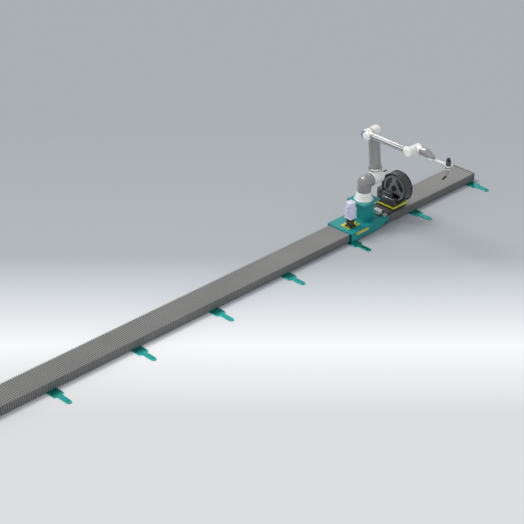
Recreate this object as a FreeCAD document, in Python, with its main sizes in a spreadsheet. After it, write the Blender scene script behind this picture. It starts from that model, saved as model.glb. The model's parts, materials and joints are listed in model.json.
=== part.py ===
import FreeCAD, Part
import math
import os
import re
import Sketcher

# Robot linear track: a floor-mounted bed with two profile rails and a gear rack under a bellows,
# a motor-driven carriage, and on it a pedestal with a six-axis arm, a welding torch and a wire feeder.
# X runs along the track, Y across it to the back, Z up from the floor. Origin: centre of the track.

# Driving sizes in millimetres and degrees
SIZES = {
    # Floor plates, one under the bed at each pitch, with a tab for an anchor on each side
    "foot_count": 8,
    "foot_pitch": 1000,
    "run_past_foot": 90,
    "foot_thick": 12,
    "foot_width": 116,
    "foot_reach": 257,
    "tab_width": 54,
    "tab_reach": 428,
    "anchor_bore": 14,
    # Bed: hollow aluminium extrusion
    "bed_width": 250,
    "bed_height": 36,
    "bed_wall": 6,
    "bed_rib": 10,
    "clamp_width": 9,
    "clamp_length": 60,
    "clamp_height": 14,
    # Profile rails and their guide blocks
    "rail_spacing": 234,
    "rail_width": 20,
    "rail_height": 18,
    "rail_waist": 14,
    "block_width": 44,
    "block_length": 66,
    "block_top": 30,
    "block_lift": 5,
    "block_inset": 8,
    "slide_gap": 0.5,
    "tool_overrun": 1,
    # Gear rack and pinion
    "gear_module": 8,
    "pinion_teeth": 10,
    "tooth_shift": 0.42,
    "pressure_angle": 20,
    "tooth_play": 0.4,
    "rack_height": 16,
    "rack_back": 20,
    "rack_shoulder": 10,
    "rack_margin": 60,
    "segment_teeth": 40,
    "rack_screw": 5,
    "pinion_width": 14,
    "pinion_lift": 1,
    "shaft_radius": 13,
    "running_gap": 0.05,
    "shaft_clear": 4,
    # Bellows over the bed, its end plates, and how small a fold gets when it is pushed together
    "bellows_width": 308,
    "bellows_height": 90,
    "bellows_gap": 13,
    "fold_pitch": 60,
    "fold_depth": 15,
    "bellows_wall": 3,
    "folded_share": 0.1667,
    "end_plate_thick": 8,
    # End stops with rubber buffers
    "stop_length": 60,
    "stop_width": 44,
    "stop_rise": 32,
    "buffer_radius": 13,
    "buffer_length": 28,
    "stop_clear": 2,
    # Carriage
    "carriage_start": 1480,
    "carriage_length": 595,
    "carriage_width": 340,
    "plate_thick": 15,
    "plate_top": 115,
    "skirt_thick": 6,
    "skirt_gap": 2,
    "skirt_trim": 140,
    "flange_thick": 5,
    "flange_rise": 4,
    "corner_radius": 10,
    "strip_start": 78,
    "strip_drop": 34,
    "strip_length": 185,
    "strip_height": 13,
    "strip_thick": 8,
    # Drive: motor plate, planetary gearbox, servo motor
    "motor_x": 1587,
    "motor_y": -55,
    "motor_plate_length": 169,
    "motor_plate_width": 128,
    "motor_plate_thick": 10,
    "motor_plate_left": 53,
    "motor_plate_front": 36,
    "slot_width": 7,
    "slot_length": 24,
    "slot_inset": 16,
    "slot_pitch": 18,
    "gearbox_side": 90,
    "gearbox_flange": 12,
    "gearbox_radius": 43,
    "gearbox_height": 105,
    "gearbox_band": 2,
    "band_height": 22,
    "motor_side": 100,
    "motor_chamfer": 14,
    "motor_flange": 10,
    "motor_waist": 4,
    "motor_height": 118,
    "encoder_height": 72,
    "encoder_inset": 9,
    "plug_size": 24,
    "plug_length": 20,
    # Pedestal
    "pedestal_x": 1851,
    "pedestal_height": 226,
    "pedestal_tube": 165,
    "tube_wall": 8,
    "head_plate": 262,
    "head_thick": 14,
    "toe_plate": 200,
    "toe_thick": 10,
    # Robot arm
    "base_radius": 104,
    "base_rim": 14,
    "base_height": 94,
    "joint_gap": 0.3,
    "shoulder_radius": 75,
    "seam_step": 1,
    "shoulder_height": 200,
    "shoulder_reach": 90,
    "arm_offset": 180,
    "arm_housing_out": 76,
    "upper_length": 529,
    "upper_tilt": 5.4,
    "upper_tube": 64,
    "upper_ring": 76,
    "neck_inset": 4,
    "ring_height": 22,
    "arm_neck": 84,
    "elbow_radius": 56,
    "elbow_out": 54,
    "elbow_joint": 62,
    "elbow_neck": 68,
    "neck_rim": 10,
    "fore_offset": 103,
    "fore_housing": 43,
    "fore_boss": 76,
    "fore_length": 593,
    "fore_drop": 0.6,
    "fore_tube": 36,
    "elbow_cap": 9,
    "wrist_radius": 48,
    "wrist_inner": 50,
    "wrist_outer": 56,
    "wrist_1_out": 46,
    "wrist_boss": 60,
    "wrist_step": 68,
    "hand_reach": 200,
    "wrist_fall": 29,
    "flange_drop": 42,
    "flange_radius": 47,
    "flange_thick_robot": 14,
    "lid_inset": 8,
    "lid_height": 7,
    "connector_radius": 10,
    "connector_length": 88,
    "connector_up": 30,
    "connector_front": 20,
    # Torch and its bracket
    "torch_reach": 229,
    "bracket_width": 46,
    "bracket_thick": 12,
    "clamp_wall": 9,
    "clamp_lip": 6,
    "torch_radius": 29,
    "torch_height": 83,
    "torch_above": 58,
    "torch_cap_radius": 19,
    "torch_taper": 0.8,
    "torch_cap_height": 30,
    "torch_ring_radius": 26,
    "torch_ring_height": 24,
    "neck_radius": 10,
    "neck_drop": 50,
    "neck_bend": 15,
    "nozzle_radius": 11,
    "nozzle_length": 60,
    "nozzle_tip": 18,
    "nozzle_angle": 42,
    # Feeder bracket, dampers and tray
    "bracket_gap": 10,
    "shelf_rise": 22,
    "shelf_thick": 8,
    "shelf_length": 296,
    "arm_back": 90,
    "arm_bar": 22,
    "shelf_inset": 6,
    "arm_front_inset": 44,
    "arm_rear_inset": 80,
    "damper_height": 18,
    "damper_width": 30,
    "damper_inset": 8,
    "damper_side": 60,
    "tray_start": 2160,
    "tray_length": 226,
    "tray_front": -165,
    "tray_back": 108,
    "tray_rim": 22,
    "tray_wall": 3,
    # Wire feeder
    "feeder_x": 2178,
    "feeder_front": -122,
    "feeder_back": 30,
    "feeder_depth": 190,
    "feeder_height": 118,
    "louvre_count": 5,
    "louvre_height": 5,
    "louvre_pitch": 11,
    "louvre_length": 96,
    "louvre_depth": 4,
    "louvre_rise": 24,
    "drive_width": 66,
    "drive_height": 175,
    "seat_gap": 0.5,
    "drum_y": -107,
    "drum_z": 373,
    "drum_radius": 175,
    "drum_width": 116,
    "drum_rim": 9,
    "drum_rim_width": 8,
    "drum_wall": 5,
    "drum_set_back": 36,
    "spool_clear": 4,
    "axle_step": 3,
    "axle_radius": 24,
    "spool_radius": 148,
    "spool_width": 96,
    "spool_flange": 5,
    "spool_core": 62,
    "winding_radius": 128,
    "knob_radius": 34,
    "knob_height": 20,
    "knob_lobes": 6,
    "knob_bite": 7,
    # Boxes at the carriage's far end
    "junction_length": 56,
    "junction_width": 88,
    "junction_height": 46,
    "junction_inset": 12,
    "junction_side": 4,
    "lid_overhang": 2,
    "lid_thick": 8,
    "switch_length": 60,
    "switch_width": 34,
    "switch_height": 26,
    "switch_inset": 10,
    "switch_side": 4,
}

doc = FreeCAD.newDocument("robot_linear_track")
sheet = doc.addObject("Spreadsheet::Sheet", "Sizes")
for row, (name, size) in enumerate(SIZES.items(), start=1):
    sheet.set(f"A{row}", name)
    sheet.set(f"B{row}", str(size))
    sheet.setAlias(f"B{row}", name)
doc.recompute()

WORD = re.compile(r"[a-z_][a-z0-9_]*")
DERIVED = {}
NODES = []


# The expression with each name put as its cell of the sheet or as the formula worked out from cells
def ex(text):
    def resolved(match):
        word = match.group(0)
        if word in DERIVED:
            return f"({DERIVED[word]})"
        if word in SIZES:
            return f"Sizes.{word}"
        return word

    return WORD.sub(resolved, str(text))


def let(name, text):
    DERIVED[name] = ex(text)


def value(text):
    return float(sheet.evalExpression(ex(text)))


def node(label, item):
    item.Label = label
    NODES.append(item)
    return item


def bind_place(item, start):
    for axis, text in zip("xyz", start):
        item.setExpression(f"Placement.Base.{axis}", ex(text))


# A block between a low and a high end along each axis
def box(name, along_x, along_y, along_z):
    item = doc.addObject("Part::Box", name)
    spans = (along_x, along_y, along_z)
    for prop, (low, high) in zip(("Length", "Width", "Height"), spans):
        item.setExpression(prop, ex(f"({high}) - ({low})"))
    bind_place(item, [low for low, high in spans])
    return item


TURN_TO = {
    "x": FreeCAD.Rotation(FreeCAD.Vector(0, 1, 0), 90),
    "y": FreeCAD.Rotation(FreeCAD.Vector(1, 0, 0), -90),
    "z": FreeCAD.Rotation(),
}


def rod(name, axis, radius, start, length):
    item = doc.addObject("Part::Cylinder", name)
    item.Placement.Rotation = TURN_TO[axis]
    item.setExpression("Radius", ex(radius))
    item.setExpression("Height", ex(length))
    bind_place(item, start)
    return item


def fuse(name, *items):
    item = doc.addObject("Part::MultiFuse", name)
    item.Shapes = list(items)
    item.Refine = True
    return item


def group(name, *items):
    item = doc.addObject("Part::Compound", name)
    item.Links = list(items)
    return item


def cut(name, base, *tools):
    item = doc.addObject("Part::Cut", name)
    item.Base = base
    item.Tool = tools[0] if len(tools) == 1 else group(name + "_tools", *tools)
    item.Refine = True
    return item


# Bevels the edges that the test picks
def chamfered(name, base, size, picks):
    doc.recompute()
    item = doc.addObject("Part::Chamfer", name)
    item.Base = base
    width = value(size)
    edges = [i for i, edge in enumerate(base.Shape.Edges, start=1) if picks(edge)]
    item.Edges = [(i, width, width) for i in edges]
    return item


SAME_PLACE = 0.01


def upright(edge):
    low = edge.Vertexes[0].Point
    high = edge.Vertexes[-1].Point
    return math.hypot(low.x - high.x, low.y - high.y) < SAME_PLACE and abs(low.z - high.z) > SAME_PLACE


def new_body(label):
    return doc.addObject("PartDesign::Body", label)


def plane_of(body, role):
    return next(item for item in body.Origin.OriginFeatures if item.Role == role)


def new_sketch(body, name, role, lift):
    sketch = body.newObject("Sketcher::SketchObject", name)
    sketch.AttachmentSupport = [(plane_of(body, role), "")]
    sketch.MapMode = "FlatFace"
    sketch.setExpression("AttachmentOffset.Base.z", ex(lift))
    return sketch


# Closed outline through the points, each held from the origin by two dimensions
def outline(sketch, points):
    first = sketch.GeometryCount
    count = len(points)
    spots = [FreeCAD.Vector(value(across), value(along), 0) for across, along in points]
    for i in range(count):
        sketch.addGeometry(Part.LineSegment(spots[i], spots[(i + 1) % count]))
    for i in range(count):
        sketch.addConstraint(Sketcher.Constraint("Coincident", first + i, 2, first + (i + 1) % count, 1))
    for i, (across, along) in enumerate(points):
        for kind, text, size in (("DistanceX", across, spots[i].x), ("DistanceY", along, spots[i].y)):
            index = sketch.addConstraint(Sketcher.Constraint(kind, -1, 1, first + i, 1, size))
            sketch.setExpression(f"Constraints[{index}]", ex(text))


def circle(sketch, across, along, radius):
    centre = FreeCAD.Vector(value(across), value(along), 0)
    index = sketch.addGeometry(Part.Circle(centre, FreeCAD.Vector(0, 0, 1), value(radius)))
    for kind, text, size in (("DistanceX", across, centre.x), ("DistanceY", along, centre.y)):
        held = sketch.addConstraint(Sketcher.Constraint(kind, -1, 1, index, 3, size))
        sketch.setExpression(f"Constraints[{held}]", ex(text))
    held = sketch.addConstraint(Sketcher.Constraint("Radius", index, value(radius)))
    sketch.setExpression(f"Constraints[{held}]", ex(radius))


def rectangle(sketch, low_x, high_x, low_y, high_y):
    outline(sketch, [(low_x, low_y), (high_x, low_y), (high_x, high_y), (low_x, high_y)])


def pad(body, sketch, length):
    item = body.newObject("PartDesign::Pad", sketch.Name + "_pad")
    item.Profile = sketch
    item.setExpression("Length", ex(length))
    return item


def pocket_through(body, sketch):
    item = body.newObject("PartDesign::Pocket", sketch.Name + "_pocket")
    item.Profile = sketch
    item.Type = 1
    item.Midplane = True
    return item


TURN_FROM_Y = {
    "x": FreeCAD.Rotation(FreeCAD.Vector(0, 0, 1), -90),
    "y": FreeCAD.Rotation(),
    "z": FreeCAD.Rotation(FreeCAD.Vector(1, 0, 0), 90),
}


# Solid of revolution: the outline is given as distances along the axis with the radius there
def ring(name, axis, start, steps):
    sketch = doc.addObject("Sketcher::SketchObject", name + "_outline")
    outline(sketch, [(radius, distance) for distance, radius in steps])
    item = doc.addObject("Part::Revolution", name)
    item.Source = sketch
    item.Axis = FreeCAD.Vector(0, 1, 0)
    item.Solid = True
    item.Placement.Rotation = TURN_FROM_Y[axis]
    bind_place(item, start)
    return item


# The same with both ends closed on the axis
def turned(name, axis, start, steps):
    first = [] if steps[0][1] == "0" else [(steps[0][0], "0")]
    last = [] if steps[-1][1] == "0" else [(steps[-1][0], "0")]
    return ring(name, axis, start, first + list(steps) + last)


# Two rods that run from a shared corner, each between two distances along its axis. The outside of the
# corner is what both rods would have in common if they ran on through it.
def elbow(name, corner, one, other):
    legs = []
    crossing = []
    for number, (axis, radius, low, high) in enumerate((one, other)):
        place = "xyz".index(axis)
        for kind, begin, end in (("leg", low, high), ("crossing", f"-({radius})", radius)):
            start = list(corner)
            start[place] = f"{corner[place]} + ({begin})"
            item = rod(f"{name}_{kind}_{number}", axis, radius, start, f"({end}) - ({begin})")
            (legs if kind == "leg" else crossing).append(item)
    rounded = doc.addObject("Part::MultiCommon", name + "_corner")
    rounded.Shapes = crossing
    return fuse(name, rounded, *legs)


# The solid between a flat outline and the same outline moved along a direction
def prism_of(points, direction):
    wire = Part.makePolygon(points + points[:1])
    return Part.Face(wire).extrude(direction)


def feature(name, shape):
    item = doc.addObject("Part::Feature", name)
    item.Shape = shape
    return item


# Places that several pieces share
let("half_run", "(foot_count - 1) / 2 * foot_pitch + run_past_foot")
let("bed_end", "half_run - end_plate_thick")
let("bed_top", "foot_thick + bed_height")
let("rail_y", "rail_spacing / 2")
let("rail_top", "bed_top + rail_height")
let("block_high", "bed_top + block_top")
let("pitch_radius", "gear_module * pinion_teeth / 2")
let("rack_line", "motor_y + pitch_radius + tooth_shift * gear_module")
let("rack_rear", "rack_line + rack_back")
let("plate_low", "plate_top - plate_thick")
let("carriage_end", "carriage_start + carriage_length")
let("half_carriage", "carriage_width / 2")
let("near_length", "bed_end + carriage_start")
let("far_length", "bed_end - carriage_end")
let("near_travel", "near_length * (1 - folded_share)")
let("far_travel", "far_length * (1 - folded_share)")
let("bellows_half", "bellows_width / 2")
let("bellows_top", "bellows_gap + bellows_height")
let("liner_half", "bellows_half - fold_depth - bellows_wall")
let("liner_top", "bellows_top - fold_depth - bellows_wall")
let("window_half", "bed_width / 2 + clamp_width + slide_gap * 4")
let("stop_y", "(rack_rear + bed_rib + rail_y - block_width / 2) / 2")


# Floor plates

def floor_plate(index):
    middle = f"({index} - (foot_count - 1) / 2) * foot_pitch"
    wide = f"{middle} + foot_width / 2"
    body = new_body(f"floor_plate_{index + 1}")
    plan = new_sketch(body, f"foot_plan_{index}", "XY_Plane", 0)
    half = "foot_width / 2"
    shoulder = "foot_reach + (foot_width - tab_width) / 4"
    tab_end = "tab_reach - tab_width / 2"
    quarter = [
        (half, f"-({shoulder}) + (foot_width - tab_width) / 4"),
        ("tab_width / 2", f"-({shoulder})"),
        ("tab_width / 2", f"-({tab_end})"),
    ]
    right = [(x, y.replace("-(", "(", 1).replace("+ (foot_width", "- (foot_width")) for x, y in quarter]
    points = [(f"{middle} + {x}", y) for x, y in quarter[::-1]]
    points += [(f"{middle} + {x}", y) for x, y in right]
    points += [(f"{middle} - {x}", y) for x, y in right[::-1]]
    points += [(f"{middle} - {x}", y) for x, y in quarter]
    outline(plan, points)
    pad(body, plan, "foot_thick")
    ends = new_sketch(body, f"foot_ends_{index}", "XY_Plane", 0)
    for side in ("-", ""):
        circle(ends, middle, f"{side}({tab_end})", "tab_width / 2")
    pad(body, ends, "foot_thick")
    bores = new_sketch(body, f"foot_bores_{index}", "XY_Plane", 0)
    for side in ("-", ""):
        circle(bores, middle, f"{side}({tab_end})", "anchor_bore / 2")
    pocket_through(body, bores)
    return body


node("floor_plates", group("floor_plates", *[floor_plate(foot) for foot in range(int(SIZES["foot_count"]))]))


# Bed, its clamps and the two rails

def bed_profile():
    body = new_body("bed_profile")
    section = new_sketch(body, "bed_section", "YZ_Plane", "-bed_end")
    half = "bed_width / 2"
    outline(section, [
        (f"-{half}", "foot_thick"),
        (half, "foot_thick"),
        (half, "bed_top"),
        ("rack_rear + bed_rib", "bed_top"),
        ("rack_rear + bed_rib", "bed_top + rack_shoulder"),
        ("rack_rear", "bed_top + rack_shoulder"),
        ("rack_rear", "bed_top"),
        (f"-{half}", "bed_top"),
    ])
    low = "foot_thick + bed_wall"
    high = "bed_top - bed_wall"
    rib = "bed_width / 6"
    spans = [
        (f"-{half} + bed_wall", f"-{rib} - bed_wall / 2"),
        (f"-{rib} + bed_wall / 2", f"{rib} - bed_wall / 2"),
        (f"{rib} + bed_wall / 2", f"{half} - bed_wall"),
    ]
    for left, right in spans:
        rectangle(section, left, right, low, high)
    pad(body, section, "2 * bed_end")
    node("bed_profile", body)


def bed_clamps():
    clamps = []
    for index in range(int(SIZES["foot_count"])):
        middle = f"({index} - (foot_count - 1) / 2) * foot_pitch"
        for side in (-1, 1):
            edge = f"{side} * bed_width / 2"
            outer = f"{edge} + {side} * clamp_width"
            span = (edge, outer) if side > 0 else (outer, edge)
            clamps.append(box(
                f"clamp_{index}_{side + 1}",
                (f"{middle} - clamp_length / 2", f"{middle} + clamp_length / 2"),
                span,
                ("foot_thick", "foot_thick + clamp_height"),
            ))
    node("bed_clamps", group("bed_clamps", *clamps))


def guide_rail(label, side):
    body = new_body(label)
    section = new_sketch(body, label + "_section", "YZ_Plane", "-bed_end")
    middle = f"{side} * rail_y"
    half = "rail_width / 2"
    waist = "rail_waist / 2"
    steps = [
        (half, "0"),
        (half, "rail_height * 0.3"),
        (waist, "rail_height * 0.42"),
        (waist, "rail_height * 0.62"),
        (half, "rail_height * 0.75"),
        (half, "rail_height"),
    ]
    points = [(f"{middle} + {y}", f"bed_top + {z}") for y, z in steps]
    points += [(f"{middle} - {y}", f"bed_top + {z}") for y, z in steps[::-1]]
    outline(section, points)
    pad(body, section, "2 * bed_end")
    node(label, body)


bed_profile()
bed_clamps()
guide_rail("guide_rail_front", -1)
guide_rail("guide_rail_back", 1)


# Gear rack: straight-flanked teeth towards the pinion, in lengths butted mid-space

# Depth of a tooth below the pitch line, in modules
DEDENDUM = 1.25


def gear_rack():
    module = value("gear_module")
    pitch = math.pi * module
    slope = math.tan(math.radians(value("pressure_angle")))
    half_tooth = (pitch / 2 - value("tooth_play")) / 2
    line = value("rack_line")
    tip = line - module
    root = line + DEDENDUM * module
    back = value("rack_rear")
    low = value("bed_top")
    height = value("rack_height")
    first = -math.ceil((value("near_travel") + value("rack_margin")) / pitch)
    last = math.ceil((value("far_travel") + value("rack_margin")) / pitch)
    tip_half = half_tooth - module * slope
    root_half = half_tooth + DEDENDUM * module * slope
    count = int(value("segment_teeth"))
    segments = []
    for start in range(first, last, count):
        end = min(start + count, last)
        left = value("motor_x") + start * pitch
        right = value("motor_x") + end * pitch
        points = [FreeCAD.Vector(left, back, low), FreeCAD.Vector(left, root, low)]
        for tooth in range(start, end):
            middle = value("motor_x") + (tooth + 0.5) * pitch
            for across, depth in ((-root_half, root), (-tip_half, tip), (tip_half, tip), (root_half, root)):
                points.append(FreeCAD.Vector(middle + across, depth, low))
        points += [FreeCAD.Vector(right, root, low), FreeCAD.Vector(right, back, low)]
        segments.append(prism_of(points, FreeCAD.Vector(0, 0, height)))
    node("gear_rack", feature("gear_rack", Part.makeCompound(segments)))


# Hexagon heads that hold the rack down, two to each length
def rack_screws():
    pitch = math.pi * value("gear_module")
    first = -math.ceil((value("near_travel") + value("rack_margin")) / pitch)
    last = math.ceil((value("far_travel") + value("rack_margin")) / pitch)
    spacing = pitch * value("segment_teeth") / 2
    count = int((last - first) * pitch / spacing)
    radius = value("rack_screw")
    across = value("rack_rear - rack_screw * 1.5")
    low = value("bed_top + rack_height")
    screws = []
    for index in range(count):
        along = value("motor_x") + first * pitch + (index + 0.5) * spacing
        corners = []
        for corner in range(6):
            turn = math.radians(60 * corner)
            side = along + radius * math.cos(turn)
            corners.append(FreeCAD.Vector(side, across + radius * math.sin(turn), low))
        screws.append(prism_of(corners, FreeCAD.Vector(0, 0, radius)))
    node("rack_screws", feature("rack_screws", Part.makeCompound(screws)))


gear_rack()
rack_screws()


# Bellows: pleats on the top and both sides, open below, with a plain liner inside

def bellows(label, start, end):
    low_x = value(start)
    high_x = value(end)
    folds = max(2, round((high_x - low_x) / value("fold_pitch")))
    step = (high_x - low_x) / folds
    floor = value("bellows_gap")
    liner_half = value("liner_half")
    liner_top = value("liner_top")

    def rim(along, inset):
        half = value("bellows_half") - inset
        top = value("bellows_top") - inset
        return [
            FreeCAD.Vector(along, -half, floor),
            FreeCAD.Vector(along, -half, top),
            FreeCAD.Vector(along, half, top),
            FreeCAD.Vector(along, half, floor),
        ]

    depth = value("fold_depth")
    rims = []
    for index in range(folds):
        rims.append(rim(low_x + index * step, depth))
        rims.append(rim(low_x + (index + 0.5) * step, 0))
    rims.append(rim(high_x, depth))

    def liner(along):
        return [
            FreeCAD.Vector(along, -liner_half, floor),
            FreeCAD.Vector(along, -liner_half, liner_top),
            FreeCAD.Vector(along, liner_half, liner_top),
            FreeCAD.Vector(along, liner_half, floor),
        ]

    inside = [liner(low_x), liner(high_x)]
    faces = []
    for one, other in zip(rims[:-1], rims[1:]):
        for i in range(3):
            faces.append(Part.Face(Part.makePolygon([one[i], other[i], other[i + 1], one[i + 1], one[i]])))
    for i in range(3):
        corners = [inside[0][i], inside[1][i], inside[1][i + 1], inside[0][i + 1], inside[0][i]]
        faces.append(Part.Face(Part.makePolygon(corners)))
    for outer, inner in ((rims[0], inside[0]), (rims[-1], inside[1])):
        faces.append(Part.Face(Part.makePolygon(outer + inner[::-1] + outer[:1])))
    for i in (0, 3):
        edge = [one[i] for one in rims]
        faces.append(Part.Face(Part.makePolygon(edge + [inside[1][i], inside[0][i], edge[0]])))
    shell = Part.makeShell(faces)
    shell.sewShape()
    solid = Part.makeSolid(shell)
    if solid.Volume < 0:
        solid.reverse()
    node(label, feature(label, solid))


let("bellows_near_end", "carriage_start - flange_thick")
let("bellows_far_end", "carriage_end + flange_thick")
bellows("bellows_near", "-bed_end", "bellows_near_end")
bellows("bellows_far", "bellows_far_end", "bed_end")


def end_plate(label, side):
    low = "bed_end" if side > 0 else "-half_run"
    body = new_body(label)
    face = new_sketch(body, label + "_face", "YZ_Plane", low)
    rectangle(face, "-bellows_half", "bellows_half", "bellows_gap", "bellows_top")
    pad(body, face, "end_plate_thick")
    node(label, body)


end_plate("end_plate_near", -1)
end_plate("end_plate_far", 1)


# End stops: a steel block on the bed at each end of the travel, with a rubber buffer on its face

def end_stops():
    blocks = []
    buffers = []
    height = "bed_top + stop_rise"
    middle = "bed_top + stop_rise - buffer_radius - stop_clear"
    near_face = "carriage_start - near_travel - buffer_length - stop_clear"
    far_face = "carriage_end + far_travel + buffer_length + stop_clear"
    across = ("stop_y - stop_width / 2", "stop_y + stop_width / 2")
    blocks.append(box("stop_near", (f"{near_face} - stop_length", near_face), across, ("bed_top", height)))
    blocks.append(box("stop_far", (far_face, f"{far_face} + stop_length"), across, ("bed_top", height)))
    buffers.append(rod("buffer_near", "x", "buffer_radius", (near_face, "stop_y", middle), "buffer_length"))
    start = (f"{far_face} - buffer_length", "stop_y", middle)
    buffers.append(rod("buffer_far", "x", "buffer_radius", start, "buffer_length"))
    node("end_stops", group("end_stops", *blocks))
    node("stop_buffers", group("stop_buffers", *buffers))


end_stops()


# Carriage: plate on four guide blocks, side skirts, bellows flanges, lugs that meet the buffers

def carriage_plate():
    body = new_body("carriage_plate")
    plan = new_sketch(body, "plate_plan", "XY_Plane", "plate_low")
    rectangle(plan, "carriage_start", "carriage_end", "-half_carriage", "half_carriage")
    pad(body, plan, "plate_thick")
    hole = new_sketch(body, "pinion_hole", "XY_Plane", "plate_low")
    circle(hole, "motor_x", "motor_y", "shaft_radius * 2")
    pocket_through(body, hole)
    node("carriage_plate", body)


def skirt(label, side):
    outer = f"{side} * (half_carriage + skirt_thick)"
    inner = f"{side} * half_carriage"
    body = new_body(label)
    face = new_sketch(body, label + "_face", "XZ_Plane", f"-({outer})" if side > 0 else f"-({inner})")
    low = "foot_thick + skirt_gap"
    outline(face, [
        ("carriage_start", low),
        ("carriage_end - skirt_trim", low),
        ("carriage_end", f"{low} + skirt_trim / 2"),
        ("carriage_end", "plate_top"),
        ("carriage_start", "plate_top"),
    ])
    pad(body, face, "skirt_thick")
    node(label, body)


def guide_blocks():
    blocks = []
    places = ("carriage_start + block_inset", "carriage_end - block_inset - block_length")
    for number, start in enumerate(places):
        for side in (-1, 1):
            middle = f"{side} * rail_y"
            span = (start, f"{start} + block_length")
            name = f"block_{number}_{side + 1}"
            body = box(
                name,
                span,
                (f"{middle} - block_width / 2", f"{middle} + block_width / 2"),
                ("bed_top + block_lift", "block_high"),
            )
            channel = box(
                name + "_channel",
                (f"{start} - tool_overrun", f"{start} + block_length + tool_overrun"),
                (f"{middle} - rail_width / 2 - slide_gap", f"{middle} + rail_width / 2 + slide_gap"),
                ("bed_top", "rail_top + slide_gap"),
            )
            blocks.append(cut(name + "_cut", body, channel))
    node("guide_blocks", group("guide_blocks", *blocks))


def block_spacers():
    bars = []
    for side in (-1, 1):
        middle = f"{side} * rail_y"
        bars.append(box(
            f"spacer_{side + 1}",
            ("carriage_start + flange_thick", "carriage_end - flange_thick"),
            (f"{middle} - block_width / 2", f"{middle} + block_width / 2"),
            ("block_high", "plate_low"),
        ))
    node("block_spacers", group("block_spacers", *bars))


def bellows_flanges():
    frames = []
    window = "window_half"
    for name, low in (("flange_near", "bellows_near_end"), ("flange_far", "carriage_end")):
        span = (low, f"{low} + flange_thick")
        plate = box(
            name,
            span,
            ("-bellows_half", "bellows_half"),
            ("bellows_gap", "bellows_top + flange_rise"),
        )
        inner = box(
            name + "_window",
            (f"{low} - tool_overrun", f"{low} + flange_thick + tool_overrun"),
            (f"-{window}", window),
            ("bellows_gap - tool_overrun", "block_high + flange_rise"),
        )
        frames.append(cut(name + "_frame", plate, inner))
    node("bellows_flanges", group("bellows_flanges", *frames))


def stop_lugs():
    lugs = []
    across = ("stop_y - stop_width / 3", "stop_y + stop_width / 3")
    up = ("bed_top + stop_rise - 2 * buffer_radius", "plate_low")
    lugs.append(box("lug_near", ("carriage_start", "carriage_start + stop_length / 2"), across, up))
    lugs.append(box("lug_far", ("carriage_end - stop_length / 2", "carriage_end"), across, up))
    node("stop_lugs", group("stop_lugs", *lugs))


def side_strip():
    low_x = "carriage_start + strip_start"
    low_z = "plate_top - strip_drop"
    face = "-half_carriage - skirt_thick"
    strip = box(
        "strip_block",
        (low_x, f"{low_x} + strip_length"),
        (f"{face} - strip_thick", face),
        (low_z, f"{low_z} + strip_height"),
    )
    node("side_strip", chamfered("side_strip", strip, "strip_thick / 3", upright))


carriage_plate()
skirt("front_skirt", -1)
skirt("back_skirt", 1)
guide_blocks()
block_spacers()
bellows_flanges()
stop_lugs()
side_strip()


# Drive: pinion and shaft, motor plate with slots to set the tooth play, gearbox, motor

def pinion_outline():
    module = value("gear_module")
    teeth = int(value("pinion_teeth"))
    angle = math.radians(value("pressure_angle"))
    shift = value("tooth_shift")
    pitch_radius = module * teeth / 2
    base = pitch_radius * math.cos(angle)
    tip = pitch_radius + module * (1 + shift)
    root = pitch_radius - module * (DEDENDUM - shift)
    at_base = (math.pi / 2 + 2 * shift * math.tan(angle)) / teeth + math.tan(angle) - angle

    # Half the tooth's angle at a radius, where the flank is an involute of the base circle
    def half_angle(radius):
        slant = math.acos(min(1, base / radius))
        return at_base - (math.tan(slant) - slant)

    radii = [base + (tip - base) * part for part in (0, 0.5, 1)]
    flank = [(root, half_angle(base))] + [(radius, half_angle(radius)) for radius in radii]
    points = []
    for tooth in range(teeth):
        middle = math.pi / 2 + tooth * 2 * math.pi / teeth
        turns = [(radius, middle - spread) for radius, spread in flank]
        turns += [(radius, middle + spread) for radius, spread in flank[::-1]]
        for radius, turn in turns:
            points.append(FreeCAD.Vector(radius * math.cos(turn), radius * math.sin(turn), 0))
    return points


def pinion():
    low = value("bed_top + pinion_lift")
    gear = prism_of(pinion_outline(), FreeCAD.Vector(0, 0, value("pinion_width")))
    rise = value("plate_top + motor_plate_thick + gearbox_flange") - low
    shaft = Part.makeCylinder(value("shaft_radius"), rise)
    item = feature("pinion", gear.fuse(shaft).removeSplitter())
    bind_place(item, ("motor_x", "motor_y", "bed_top + pinion_lift"))
    node("pinion", item)


def motor_plate():
    body = new_body("motor_plate")
    plan = new_sketch(body, "motor_plate_plan", "XY_Plane", "plate_top")
    left = "motor_x - motor_plate_left"
    front = "motor_y - motor_plate_front"
    rectangle(plan, left, f"{left} + motor_plate_length", front, f"{front} + motor_plate_width")
    circle(plan, "motor_x", "motor_y", "shaft_radius + shaft_clear")
    pad(body, plan, "motor_plate_thick")
    slots = new_sketch(body, "motor_plate_slots", "XY_Plane", "plate_top")
    last = f"{left} + motor_plate_length - slot_inset"
    for along in (f"{last} - slot_pitch", last):
        for across in (f"{front} + slot_inset", f"{front} + motor_plate_width - slot_inset - slot_length"):
            rectangle(slots, along, f"{along} + slot_width", across, f"{across} + slot_length")
    pocket_through(body, slots)
    node("motor_plate", body)


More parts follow.
